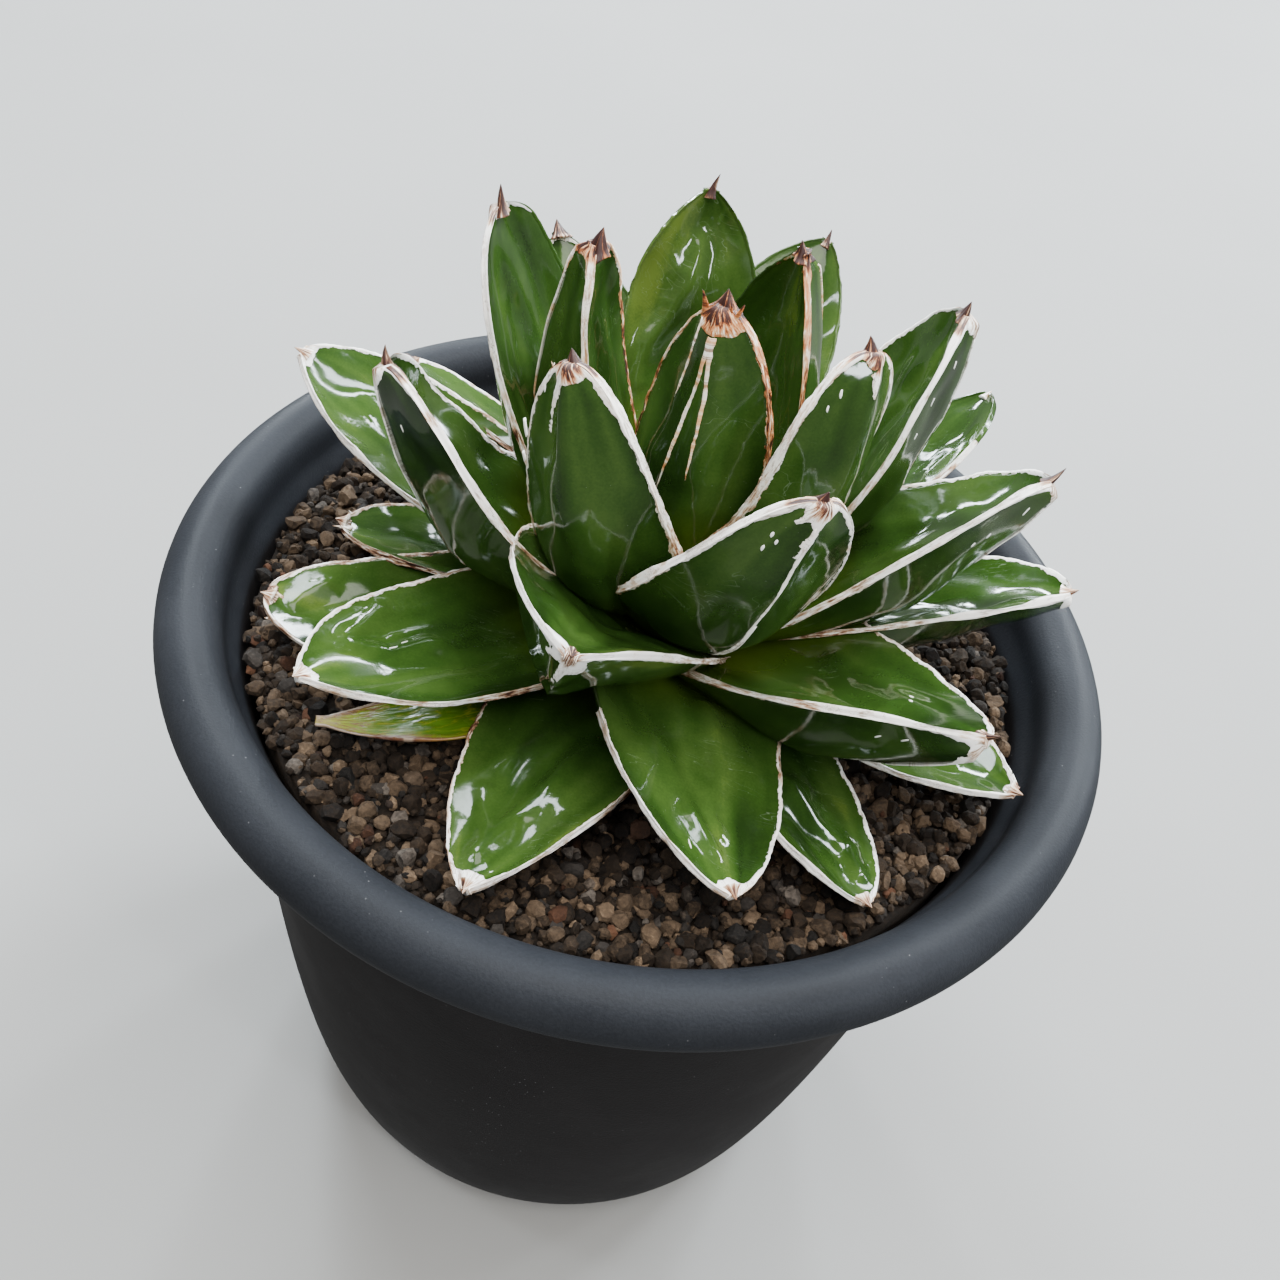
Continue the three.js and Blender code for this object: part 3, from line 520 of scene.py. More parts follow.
def tip_shell(leaf, gather, reach=14.0):
    """A thin shell over both faces of the tip, which rises from the skin where the tip's field says."""
    number, length = leaf.number, length_of(leaf)
    s = 1 - np.linspace(reach / length, 0.0015, 40)
    S, U, F = leaf_grid(s, 31, 29)
    half = half_width(leaf, S)
    X = U * (half - 0.04)
    inside, stain, angle = tip_field(leaf, S, X, F)
    start = smooth(0.0, 0.15, (S - s[0]) / (1 - s[0]))
    top, low = (skin_height(leaf, S, X / half, np.full(S.shape, face)) for face in (True, False))
    lift = np.interp(inside, LIFT_AT, LIFT) * start - 0.4 * (1 - start)
    lift = np.maximum(lift, -0.42 * (top - low))
    height = np.where(F, top + lift, low - lift)
    age = TANNED.get(number, 0.08) * (0.7 + 0.5 * plane_noise(X * 0.3, S * length * 0.3, 80 + number))
    gather.add(in_space(leaf, s, X, height), age=np.clip(age + stain, 0, 1.1), warm=ORANGE.get(number, 0.1),
               inside=inside, flow=s * length, grain=angle * 2.5, along=S, across=X / half, upper_face=F,
               leaf_seed=leaf_seed(leaf))


# the end spines: leaf -> (base radius, lean to the side, lean to the upper face, length past the tip)
PLAIN_SPINE = (1.2, 0.0, 0.12, 1.0)
SPINES = {
    1: (1.7, 0.05, 0.05, 0.9), 2: (1.5, -0.25, 0.1, 1.0), 3: (1.5, -0.1, 0.1, 0.9),
    4: (1.6, -0.3, 0.1, 1.1), 5: (1.2, 0.1, 0.1, 0.8), 6: (1.5, 0.0, 0.0, 0.8),
    8: (0.6, -0.2, 0.1, 1.1), 9: (1.2, 0.0, 0.1, 1.1), 10: (0.5, 0.1, 0.1, 0.9),
    12: (1.3, 0.15, 0.25, 1.1), 13: (0.8, 0.1, 0.2, 1.2), 14: (0.7, 0.0, 0.1, 0.4),
    15: (0.7, 0.0, 0.0, 0.3), 16: (0.8, 0.0, 0.2, 1.2), 17: (0.9, 0.2, 0.0, 0.7),
    18: (1.0, 0.0, 0.1, 0.8), 19: (1.1, 0.1, 0.0, 0.7), 23: (0.9, 0.0, 0.1, 0.7),
    25: (0.9, 0.1, 0.0, 0.6), 27: (1.0, 0.2, 0.2, 0.8),
}
SPINE_BROADER, SPINE_SHORTER = 1.3, 0.85
PALE_SPINES = (15, 17, 18, 19, 23, 24, 25, 26, 27, 28)


def spine_cone(leaf, gather):
    """The end spine: a rough, leaning cone that grows out of the cap."""
    number = leaf.number
    base, lean, lift, share = SPINES.get(number, PLAIN_SPINE)
    base, share = base * SPINE_BROADER, share * SPINE_SHORTER
    place, ahead, side, upper = (v[0] for v in frames(leaf, 0.975))
    tip_place = frames(leaf, 1.0)[0][0]
    length = np.linalg.norm(tip_place - place) + leaf.spine * share
    t = np.linspace(0, 1, 26)
    angles = around(18)
    cos, sin = np.cos(angles), np.sin(angles)
    rough = plane_noise(cos[None] * 1.4 + t[:, None] * 0.5, sin[None] * 1.4, 300 + number, 3)
    profile = (1 - t) ** 0.95 + 0.2 * np.exp(-(t / 0.16) ** 2)
    radius = base * profile[:, None] * (1 + 0.8 * rough) + 0.05
    path = place + np.outer(t * length, ahead) + np.outer(length * lift * t ** 2, upper)
    path = path + np.outer(length * lean * t ** 2, side)
    ring = cos[:, None] * side + 0.75 * sin[:, None] * upper
    rings = path[:, None] + radius[..., None] * ring[None]
    dark = 0.4 if number in PALE_SPINES else 1.0
    age = dark * (0.62 + 0.9 * smooth(0.0, 0.4, t[:, None] + 0.25 * rough))
    gather.add(rings, age=age, warm=0.3 + 0.7 * ORANGE.get(number, 0.0), inside=1.0, flow=t * length * 0.4,
               grain=angles[None] * 0.8, along=1.0, leaf_seed=leaf_seed(leaf))


# torn fibres at a tip: leaf -> (count, reach in millimetres, how orange)
RAGGED = {1: (9, 4.0, 1.0), 3: (3, 2.6, 0.4), 4: (4, 2.4, 1.0), 5: (3, 2.2, 0.9), 12: (2, 1.8, 0.3),
          27: (5, 3.0, 0.3), 28: (6, 3.0, 0.3)}


def splinters(leaf, gather, count, reach, warm):
    """Torn brown fibres round a ragged tip."""
    rng = np.random.RandomState(500 + leaf.number)
    place, ahead, side, upper = (v[0] for v in frames(leaf, 0.95))
    half = float(half_width(leaf, 0.95))
    angles = around(6)[:, None]
    ring = 0.5 * np.cos(angles) * side + 0.25 * np.sin(angles) * upper
    t = np.linspace(0, 1, 6)
    thickness = (1 - t) ** 0.8 + 0.06
    for _ in range(count):
        start = place + side * rng.uniform(-0.8, 0.8) * half + upper * rng.uniform(-1.0, 0.2)
        way = ahead + side * rng.uniform(-0.45, 0.45) + upper * rng.uniform(-0.25, 0.35)
        length = reach * rng.uniform(0.6, 1.2)
        path = start + np.outer(t * length, way)
        path = path + np.outer(0.25 * length * t ** 2 * rng.uniform(-1, 1), side)
        rings = path[:, None] + thickness[:, None, None] * ring[None]
        age = (0.45 if warm > 0.5 else 0.2) + 0.3 * rng.uniform()
        gather.add(rings, age=age, warm=warm, inside=1.0, flow=t * length, along=1.0)


# a ribbon's section: shares of the half width, and heights over the skin in millimetres
RIBBON = [(-1, -0.3), (-0.8, 0.05), (-0.4, 0.13), (0.4, 0.13), (0.8, 0.05), (1, -0.3), (0, -0.5)]


def ribbon(leaf, s, mid, half_span, is_upper):
    """A low ragged ribbon of horn on a leaf's skin, centred at distance mid from the midrib."""
    rings = []
    sign = 1 if is_upper else -1
    half = half_width(leaf, s)
    for across, up in RIBBON:
        x = mid + across * half_span
        y = skin_height(leaf, s, np.clip(x / half, -1, 1), np.full(s.shape, is_upper))
        rings.append(in_space(leaf, s, x, y + sign * up))
    return np.stack(rings[::sign], 1)


# white lines on the keeled side: leaf -> (start, end, distance at the start and at the end, half width)
STRANDS = {
    1: [(0.42, 0.92, -2.6, 0.2, 0.4), (0.5, 0.92, 2.2, 0.4, 0.35), (0.7, 0.95, -4.4, -2.9, 0.3)],
    4: [(0.3, 0.95, 0.3, 0.0, 0.35)],
    5: [(0.7, 0.95, 0.3, 0.0, 0.4)],
    6: [(0.2, 0.95, 0.3, 0.0, 0.42), (0.3, 0.62, 1.7, 0.4, 0.25)],
    7: [(0.6, 0.95, 0.3, 0.0, 0.35)],
    12: [(0.62, 0.95, -0.2, 0.0, 0.45)],
    13: [(0.72, 0.95, 0.2, 0.0, 0.35)],
    16: [(0.72, 0.95, 0.2, 0.0, 0.35)],
}
# white flecks beside the border: leaf -> (on the upper face, station, distance across, length, width)
FLECKS = {
    6: [(0, 0.9, -5.4, 0.9, 0.6), (0, 0.885, -4.3, 0.8, 0.55), (0, 0.86, -5.6, 1.0, 0.55)],
    3: [(0, 0.93, -5.2, 1.2, 0.5), (0, 0.8, -10.8, 3.4, 0.4), (0, 0.7, -12.2, 2.2, 0.35)],
    7: [(0, 0.9, -6.0, 1.4, 0.4), (0, 0.8, -9.4, 1.6, 0.4), (0, 0.7, -11, 1.2, 0.35)],
    2: [(0, 0.9, -5.5, 1.3, 0.5), (0, 0.86, -7.0, 1.0, 0.4)],
    12: [(1, 0.82, 10.5, 2.6, 0.35), (1, 0.74, 12.0, 2.0, 0.35), (0, 0.86, 5.5, 1.2, 0.5)],
    13: [(0, 0.92, -4.5, 1.6, 0.4), (0, 0.82, -8.0, 1.0, 0.35), (0, 0.78, -9.5, 0.9, 0.35)],
    16: [(1, 0.7, 6.2, 0.9, 0.5), (1, 0.72, 4.4, 0.8, 0.5), (0, 0.84, -6.5, 1.4, 0.3),
         (0, 0.78, -8.2, 1.2, 0.3)],
    19: [(1, 0.7, -2.6, 1.6, 0.22), (1, 0.66, -3.4, 1.2, 0.2)],
    23: [(1, 0.86, -5.6, 1.6, 0.25)],
}


def strand(leaf, gather, seed, start, end, off_a, off_b, width):
    """A ragged white line along the keeled side."""
    number = leaf.number
    s = np.linspace(start, end, int(90 * (end - start)) + 12)
    flow = s * length_of(leaf)
    share = (s - start) / (end - start)
    mid = off_a + (off_b - off_a) * share + 0.25 * wave_noise(flow * 0.2, seed)
    span = width * (0.8 + 0.35 * wave_noise(flow * 0.5, seed + 1) + 0.3 * wave_noise(flow * 1.9, seed + 2))
    span = np.clip(span, 0.16, 3) * smooth(-0.06, 0.22, share) * (1 + 0.8 * smooth(0.8, 1, share))
    age = np.clip(0.4 * TANNED.get(number, 0.1) + 0.25 * wave_noise(flow * 0.15, seed + 3), 0, 1)
    rings = ribbon(leaf, s, mid, span, False)
    gather.add(rings, age=age, warm=ORANGE.get(number, 0.1), inside=1.0, flow=flow, along=s)


def fleck(leaf, gather, on_upper, station, off, long, wide, steps=8):
    """A small white fleck on the skin."""
    reach = long / length_of(leaf) / 2
    s = np.linspace(station - reach, station + reach, steps)
    span = wide / 2 * np.sqrt(np.clip(1 - np.linspace(-1, 1, steps) ** 2, 0.02, 1))
    rings = ribbon(leaf, s, np.full(steps, float(off)), span, bool(on_upper))
    gather.add(rings, age=0.02, inside=1.0, along=s)


def build_border(leaf, material):
    """All the horn of one leaf: its two margins, the tip, the spine, fibres, strands and flecks."""
    number = leaf.number
    gather = Gather(*HORN_KEYS)
    for hand in (1, -1):
        edge_strip(leaf, hand, gather)
    tip_shell(leaf, gather)
    spine_cone(leaf, gather)
    if number in RAGGED:
        splinters(leaf, gather, *RAGGED[number])
    for k, row in enumerate(STRANDS.get(number, [])):
        strand(leaf, gather, 7000 + number * 10 + k, *row)
    for row in FLECKS.get(number, []):
        fleck(leaf, gather, *row)
    return gather.piece(f"border_{number:02d}_horn", material, f"border_{number:02d}", "border")


# ---------------- stem and heart
def build_stem(material):
    """The stem with the closed heart: a spindle of young leaves rolled round each other."""
    radii, heights = zip(*STEM_PROFILE)
    foot, tip = heights[0], heights[-1]
    Z, A = np.meshgrid(np.linspace(foot, tip, 120), around(72), indexing="ij")
    twist = A * HEART_LEAVES / (2 * math.pi) - Z / HEART_PITCH
    saw = twist - np.floor(twist)
    wrap = smooth(0, 30, Z)
    line = wrap * smooth(0.955, 0.975, saw)
    R = np.interp(Z, heights, radii) * (1 + wrap * (0.05 * saw - 0.04)) + 0.15 * line
    gather = Gather("along", "horn")
    white = np.maximum(line, smooth(66, 68.5, Z))
    gather.add(turned(R, A, Z) + ROOT, along=(Z - foot) / (tip - foot), horn=white)
    return gather.piece("stem_heart", material, "stem", "stem")


# ---------------- soil
BED_TOP, BED_RADIUS, BED_RINGS = 135.6, 73.6, 36
ROW_PITCH = 0.866  # of a hexagonal grid, in pitches
GRAIN_CHIPS = 9


def grain_form(divided):
    """An icosahedron, once divided or plain: points on the unit sphere and its triangles."""
    golden = (1 + 5 ** 0.5) / 2
    pairs = [(a, b * golden) for b in (1, -1) for a in (-1, 1)]
    points = [(a, b, 0) for a, b in pairs] + [(0, a, b) for a, b in pairs] + [(b, 0, a) for a, b in pairs]
    faces = [(0, 11, 5), (0, 5, 1), (0, 1, 7), (0, 7, 10), (0, 10, 11), (1, 5, 9), (5, 11, 4), (11, 10, 2),
             (10, 7, 6), (7, 1, 8), (3, 9, 4), (3, 4, 2), (3, 2, 6), (3, 6, 8), (3, 8, 9), (4, 9, 5),
             (2, 4, 11), (6, 2, 10), (8, 6, 7), (9, 8, 1)]
    points = [np.array(p) / np.linalg.norm(p) for p in points]
    if not divided:
        return np.array(points), np.array(faces)
    middles = {}

    def middle(a, b):
        key = (min(a, b), max(a, b))
        if key not in middles:
            point = points[a] + points[b]
            points.append(point / np.linalg.norm(point))
            middles[key] = len(points) - 1
        return middles[key]

    split = []
    for a, b, c in faces:
        ab, bc, ca = middle(a, b), middle(b, c), middle(c, a)
        split += [(a, ab, ca), (b, bc, ab), (c, ca, bc), (ab, bc, ca)]
    return np.array(points), np.array(split)


def scatter_grains(rng, pitch, jitter, reach):
    """Places on a shaken hexagonal grid inside the pot."""
    rows = int(reach / (pitch * ROW_PITCH)) + 1
    places = []
    for row in range(-rows, rows + 1):
        for column in range(-rows - 4, rows + 5):
            x = (column + 0.5 * (row % 2)) * pitch + rng.uniform(-jitter, jitter)
            y = row * pitch * ROW_PITCH + rng.uniform(-jitter, jitter)
            if math.hypot(x, y) < reach:
                places.append((x, y))
    return np.array(places)


def soil_rise(x, y):
    """How the loose soil's surface rises and falls, in millimetres."""
    return 0.9 * plane_noise(np.asarray(x) * 0.045 + 9, np.asarray(y) * 0.045 + 9, 21, 2)


def build_grains(name, seed, pitch, sizes, level, material, reach, divided=True):
    """A layer of broken grains on a shaken grid: divided ones have chipped faces, the others are crumbs."""
    rng = np.random.RandomState(seed)
    form, triangles = grain_form(divided)
    places = scatter_grains(rng, pitch, 0.4 * pitch, reach)
    places = places[np.hypot(places[:, 0] - ROOT[0], places[:, 1] - ROOT[1]) > STEM_CLEAR]
    count, corners = len(places), len(form)
    points = np.empty((count, corners, 3))
    tones, hues = np.empty((2, count, corners))
    for n, (x, y) in enumerate(places):
        size = rng.uniform(*sizes) * (1.2 if rng.uniform() < 0.15 else 1)
        grain = form * rng.uniform(0.75, 1.2, 3)
        for _ in range(GRAIN_CHIPS if divided else 0):  # flat broken faces
            normal = rng.normal(size=3)
            normal /= np.linalg.norm(normal)
            grain = grain - np.outer(np.maximum(grain @ normal - rng.uniform(0.5, 0.8), 0), normal)
        grain = grain * rng.uniform(0.93, 1.07, (corners, 1))
        if not divided:
            grain = grain * rng.uniform(0.8, 1.2, (corners, 1))
        turn = Matrix.Rotation(rng.uniform(0, FULL_TURN), 3, Vector(rng.normal(size=3)).normalized())
        grain = grain @ np.array(turn).T
        points[n] = grain * size + [x, y, level + soil_rise(x, y) + rng.uniform(-0.6, 0.6)]
        tones[n] = rng.uniform()
        hues[n] = rng.uniform()
    faces = (triangles[None] + (np.arange(count) * corners)[:, None, None]).reshape(-1, 3)
    attributes = {"tone": tones.ravel(), "hue_pick": hues.ravel()}
    points = points.reshape(-1, 3)
    return make_piece(name, points, faces, attributes, material, "soil", rounded=False)


def build_soil_bed(material):
    """The packed soil between and under the grains, down to the pot's floor."""
    angles = around(96)
    rings = []
    for k, radius in enumerate([0.01, *np.linspace(3, BED_RADIUS, BED_RINGS)]):
        lift = 0.5 * wave_noise(angles * 6 + k * 3.1, 40 + k, 2)
        rings.append(turned(radius, angles, BED_TOP + lift))
    for z, gap in ((120, 0.9), (60, 0.9), (20, 0.9), (5.4, 2.9)):
        rings.append(turned(wall_radius(z) - WALL - gap, angles, float(z)))
    gather = Gather("tone", "hue_pick")
    gather.add(np.stack(rings)[:, ::-1], tone=0.15, hue_pick=0.3)
    return gather.piece("soil_bed", material, "soil", "soil")


# ---------------- pot
def wall_radius(z):
    """The pot wall's outer radius at a height."""
    share = np.clip(np.asarray(z, float) / (POT_HEIGHT - RIM_DEPTH), 0, 1) ** WALL_SWELL
    return WALL_FOOT + (WALL_TOP - WALL_FOOT) * share


def curve_through(points, per_span):
    """A smooth curve through the points (Catmull-Rom), closed."""
    points = np.array(points, float)
    n = len(points)
    out = []
    for i in range(n):
        a, b, c, d = (points[(i + k) % n] for k in (-1, 0, 1, 2))
        for t in np.arange(per_span) / per_span:
            out.append(0.5 * (2 * b + (c - a) * t + (2 * a - 5 * b + 4 * c - d) * t ** 2
                              + (3 * b - a - 3 * c + d) * t ** 3))
    return np.array(out)


def build_pot(material):
    """The pot as one closed section: wall, seam, rolled rim, inside, floor with a drain hole, and foot."""
    outside = [(wall_radius(z), z) for z in (1.5, 3, 6, 10, 16, 24, 34, 46, 60, 76, 92, 108, 122, 131)]
    seam = [(76.9, 132.6), (77.15, 133.1), (76.75, 133.7), (77.1, 134.4), (77.2, 135.6)]
    rim = [(80.5, 136.0), (84.3, 136.35)]
    for angle in np.radians(RIM_STEPS):
        rim.append(np.add(RIM_CENTRE, np.multiply(RIM_ROUND, (math.cos(angle), math.sin(angle)))))
    inside = [(77.6, 139.4), (76.4, 137.0), (75.2, 134.6)]
    inside += [(wall_radius(z) - WALL, z) for z in (128, 110, 85, 60, 35, 20, 10)]
    floor = [(54, 5.2), (48, 5), (30, 5), (8, 5), (7, 4.6), (7, 2.4), (8, 2), (30, 2), (42.6, 2)]
    foot = [(43.4, 1.6), (44, 0.4), (44.6, 0), (49, 0), (53, 0.05), (53.8, 0.5)]
    profile = curve_through(outside + seam + rim + inside + floor + foot, 2)
    profile[:, 1] = np.clip(profile[:, 1], 0, POT_HEIGHT)
    rings = turned(profile[:, :1], around(POT_SIDES), profile[:, 1:])
    last = (len(profile) - 1) * POT_SIDES
    faces = tube_faces(len(profile), POT_SIDES, capped=False)
    faces += [(last + i, last + (i + 1) % POT_SIDES, (i + 1) % POT_SIDES, i) for i in range(POT_SIDES)]
    return make_piece("pot_shell", rings.reshape(-1, 3), faces, {}, material, "pot")


# ---------------- materials
class Value:
    """An output of a node. Its sums, differences and products are math nodes."""

    def __init__(self, nodes, socket):
        self.nodes, self.socket = nodes, socket

    def __add__(self, other):
        return self.nodes.math("ADD", self, other)

    def __sub__(self, other):
        return self.nodes.math("SUBTRACT", self, other)

    def __mul__(self, other):
        return self.nodes.math("MULTIPLY", self, other)

    def __abs__(self):
        return self.nodes.math("ABSOLUTE", self)


class Nodes:
    """A short way to write a material's node tree."""

    def __init__(self, name):
        self.material = bpy.data.materials.new(name)
        self.material.use_nodes = True
        self.tree = self.material.node_tree
        self.tree.nodes.clear()
        out = self.tree.nodes.new("ShaderNodeOutputMaterial")
        self.shader = self.tree.nodes.new("ShaderNodeBsdfPrincipled")
        self.tree.links.new(self.shader.outputs[0], out.inputs["Surface"])

    def put(self, target, value):
        """Link a value to a socket, or set the socket to a number or a tuple."""
        if isinstance(value, Value):
            self.tree.links.new(value.socket, target)
        elif value is not None:
            target.default_value = value

    def set(self, **values):
        """Inputs of the surface's shader, with _ for the spaces in their names."""
        for key, value in values.items():
            self.put(self.shader.inputs[key.replace("_", " ")], value)

    def add(self, kind, output, inputs=(), **settings):
        """An output of a new node, whose inputs come in order or by name."""
        node = self.tree.nodes.new("ShaderNode" + kind)
        for key, value in settings.items():
            setattr(node, key, value)
        for key, value in inputs.items() if isinstance(inputs, dict) else enumerate(inputs):
            self.put(node.inputs[key], value)
        return Value(self, node.outputs[output])

    def attributes(self, *names):
        return [self.add("Attribute", "Fac", attribute_name=name) for name in names]

    def where(self):
        return self.add("TexCoord", "Object")

    def stretch(self, vector, scale):
        return self.add("Mapping", 0, dict(Vector=vector, Scale=scale))

    def vector(self, x, y, z):
        return self.add("CombineXYZ", 0, (x, y, z))

    def height(self, vector):
        return self.add("SeparateXYZ", 2, (vector,))

    def noise(self, vector, scale, detail=4.0, roughness=0.55, distortion=0.0):
        inputs = dict(Vector=vector, Scale=scale, Detail=detail, Roughness=roughness, Distortion=distortion)
        return self.add("TexNoise", "Fac", inputs)

    def cells(self, vector, scale):
        return self.add("TexVoronoi", "Distance", dict(Vector=vector, Scale=scale))

    def math(self, operation, *values):
        return self.add("Math", 0, values, operation=operation)

    def span(self, value, low, high, to_low=0.0, to_high=1.0, soft=True):
        """The value's range from low to high, mapped to another range and held at its ends."""
        step = "SMOOTHSTEP" if soft else "LINEAR"
        return self.add("MapRange", 0, (value, low, high, to_low, to_high), interpolation_type=step)

    def mix(self, share, a, b, blend="MIX"):
        a, b = ((*colour, 1.0) if isinstance(colour, tuple) else colour for colour in (a, b))
        return self.add("Mix", 2, {0: share, 6: a, 7: b}, data_type="RGBA", blend_type=blend)

    def ramp(self, value, *stops):
        """A colour from stops of (value, colour)."""
        colour = self.add("ValToRGB", 0, (value,))
        elements = colour.socket.node.color_ramp.elements
        while len(elements) < len(stops):
            elements.new(0.5)
        for element, (place, tint) in zip(elements, stops):
            element.position = place
            element.color = (*tint, 1.0)
        return colour

    def bump(self, height, strength, distance_mm, normal=None):
        inputs = dict(Strength=strength, Distance=distance_mm * MM, Height=height, Normal=normal)
        return self.add("Bump", 0, inputs)


def skin_colour(n):
    """A leaf's green: soft lengthwise bands from deep to yellow-green, mottled and finely stippled."""
    along, across, seed = n.attributes("along", "across", "leaf_seed")
    upper, prints = n.attributes("upper_face", "print_area")
    where = n.where()
    bands = n.noise(n.vector(across * 1.5, along * 1.7, seed * 40.0), 1.0, 2.0)
    tone = bands * 1.15
    for scale, share in ((60.0, 0.45), (520.0, 0.12), (2400.0, 0.2)):
        tone = tone + (n.noise(where, scale, 2.0) - 0.5) * share
    tone = tone + upper * 0.05 - prints * 0.06
    colour = n.ramp(tone, (0.38, (0.0082, 0.0208, 0.0036)), (0.58, (0.0168, 0.0415, 0.0062)),
                    (0.8, (0.034, 0.068, 0.012)), (0.96, (0.07, 0.108, 0.018)))
    at_foot = n.span(along, 0.45, 0.08) * n.span(bands, 0.25, 0.7, 0.35, 0.9)
    colour = n.mix(at_foot, colour, (0.085, 0.126, 0.009))
    # specks of dust, and a few fine scratches
    dust = n.span(n.cells(where, 900.0), 0.06, 0.03) * n.span(n.noise(where, 160.0, 1.0), 0.56, 0.66)
    colour = n.mix(dust * 0.6, colour, (0.33, 0.37, 0.31))
    scratch = n.noise(n.stretch(where, (9.0, 70.0, 25.0)), 6.0, 2.0, 0.5, 1.5)
    scratch = n.span(abs(scratch - 0.5), 0.004, 0.0012) * n.span(n.noise(where, 60.0, 2.0), 0.56, 0.64)
    return n.mix(scratch * 0.3, colour, (0.2, 0.26, 0.17))


def leaf_material():
    """Glossy waxy green."""
    n = Nodes("leaf_green")
    where = n.where()
    rough = n.span(n.noise(where, 90.0, 3.0), 0.4, 0.75, 0.07, 0.17)
    normal = n.bump(n.noise(where, 330.0, 2.0), 0.25, 0.12)
    normal = n.bump(n.noise(where, 1500.0, 2.0), 0.2, 0.025, normal)
    n.set(Base_Color=skin_colour(n), Roughness=rough, Normal=normal, IOR=1.5)
    n.shader.inputs["Specular IOR Level"].default_value = 0.3
    return n.material


def horn_material():
    """Dry fibrous horn: white to tan, grey-brown or orange where it has aged, and maroon at the spine.

    Where it ends, raggedly, the leaf's own skin goes on.
    """
    n = Nodes("horn")
    age, warm, inside = n.attributes("age", "warm", "inside")
    flow, grain, seed = n.attributes("flow", "grain", "leaf_seed")
    where = n.where()
    limit = inside + (n.noise(where, 800.0, 3.0, 0.6) - 0.5) * 1.2
    horn = n.span(limit, -0.02, 0.06, soft=False)
    fibre = n.noise(n.vector(flow * 0.12, grain, seed * 50.0), 3.4, 4.0, 0.65)
    stain = n.noise(where, 330.0, 4.0, 0.6)
    # the amount of tan goes by age, and differs from fibre to fibre and in blots
    amount = age * n.span(fibre, 0.37, 0.62, 0.35, 1.45, soft=False)
    amount = amount + (stain - 0.5) * 0.6 + (fibre - 0.5) * 0.3
    dull = n.ramp(amount, (0.16, (0.88, 0.87, 0.85)), (0.34, (0.6, 0.52, 0.44)), (0.52, (0.32, 0.22, 0.14)),
                  (0.72, (0.1, 0.04, 0.022)), (0.95, (0.028, 0.008, 0.006)))
    orange = n.ramp(amount, (0.12, (0.8, 0.75, 0.67)), (0.32, (0.62, 0.37, 0.19)),
                    (0.58, (0.46, 0.15, 0.045)), (0.75, (0.12, 0.03, 0.012)), (0.95, (0.03, 0.008, 0.006)))
    colour = n.mix(warm, dull, orange)
    # grey worn fibres, and dark cracks between them
    worn = n.span(n.noise(where, 150.0, 3.0), 0.42, 0.6)
    grey = n.span(fibre, 0.5, 0.62) * (worn * 0.8)
    colour = n.mix(grey, colour, (0.34, 0.29, 0.26), "MULTIPLY")
    crack = n.span(abs(fibre - 0.47), 0.022, 0.006)
    crack = crack * n.span(n.noise(where, 260.0, 2.0), 0.47, 0.58, 0.0, 0.8)
    colour = n.mix(crack, colour, (0.2, 0.11, 0.07), "MULTIPLY")
    colour = n.mix(horn, skin_colour(n), colour)
    height = (fibre * 0.5 + n.noise(where, 1300.0, 3.0) * 0.35 + 0.6) * horn
    rough = n.span(horn, 0.0, 1.0, 0.12, 0.5, soft=False)
    n.set(Base_Color=colour, Roughness=rough, Normal=n.bump(height, 0.8, 0.16), IOR=1.5)
    n.shader.inputs["Specular IOR Level"].default_value = 0.3
    return n.material


def stem_material():
    """Young leaves: fresh green, paler to the tip, with horn-white edges."""
    n = Nodes("heart_green")
    along, horn = n.attributes("along", "horn")
    where = n.where()
    tone = n.noise(where, 90.0, 4.0) + along * 0.25
    colour = n.ramp(tone, (0.3, (0.03, 0.09, 0.006)), (0.6, (0.07, 0.19, 0.012)), (0.95, (0.2, 0.34, 0.04)))
    colour = n.mix(horn, colour, (0.72, 0.66, 0.56))
    n.set(Base_Color=colour, Roughness=n.span(n.noise(where, 60.0), 0.3, 0.8, 0.15, 0.35),
          Normal=n.bump(n.noise(where, 300.0), 0.3, 0.2))
    return n.material


def withered_material():
    """A fading leaf: yellow-green, going red-brown at the edges and the tip."""
    n = Nodes("withered_leaf")
    along, across = n.attributes("along", "across")
    blot = n.noise(n.where(), 160.0, 4.0, 0.6)
    fold = n.noise(n.vector(across * 2.2, along * 4.0, 0.3), 2.0, 3.0)
    edge = n.span(abs(across), 0.7, 1.0, 0.0, 0.5)
    dry = edge + n.span(along, 0.7, 1.0, 0.0, 0.4) + blot * 0.5
    dry = dry + n.span(abs(fold - 0.5), 0.05, 0.0, 0.0, 0.3)
    colour = n.ramp(dry, (0.3, (0.09, 0.19, 0.012)), (0.55, (0.26, 0.31, 0.02)), (0.72, (0.24, 0.12, 0.04)),
                    (0.86, (0.1, 0.04, 0.025)), (1.0, (0.36, 0.27, 0.2)))
    n.set(Base_Color=colour, Roughness=n.span(blot, 0.3, 0.8, 0.15, 0.5), Normal=n.bump(fold, 0.9, 0.6))
    return n.material


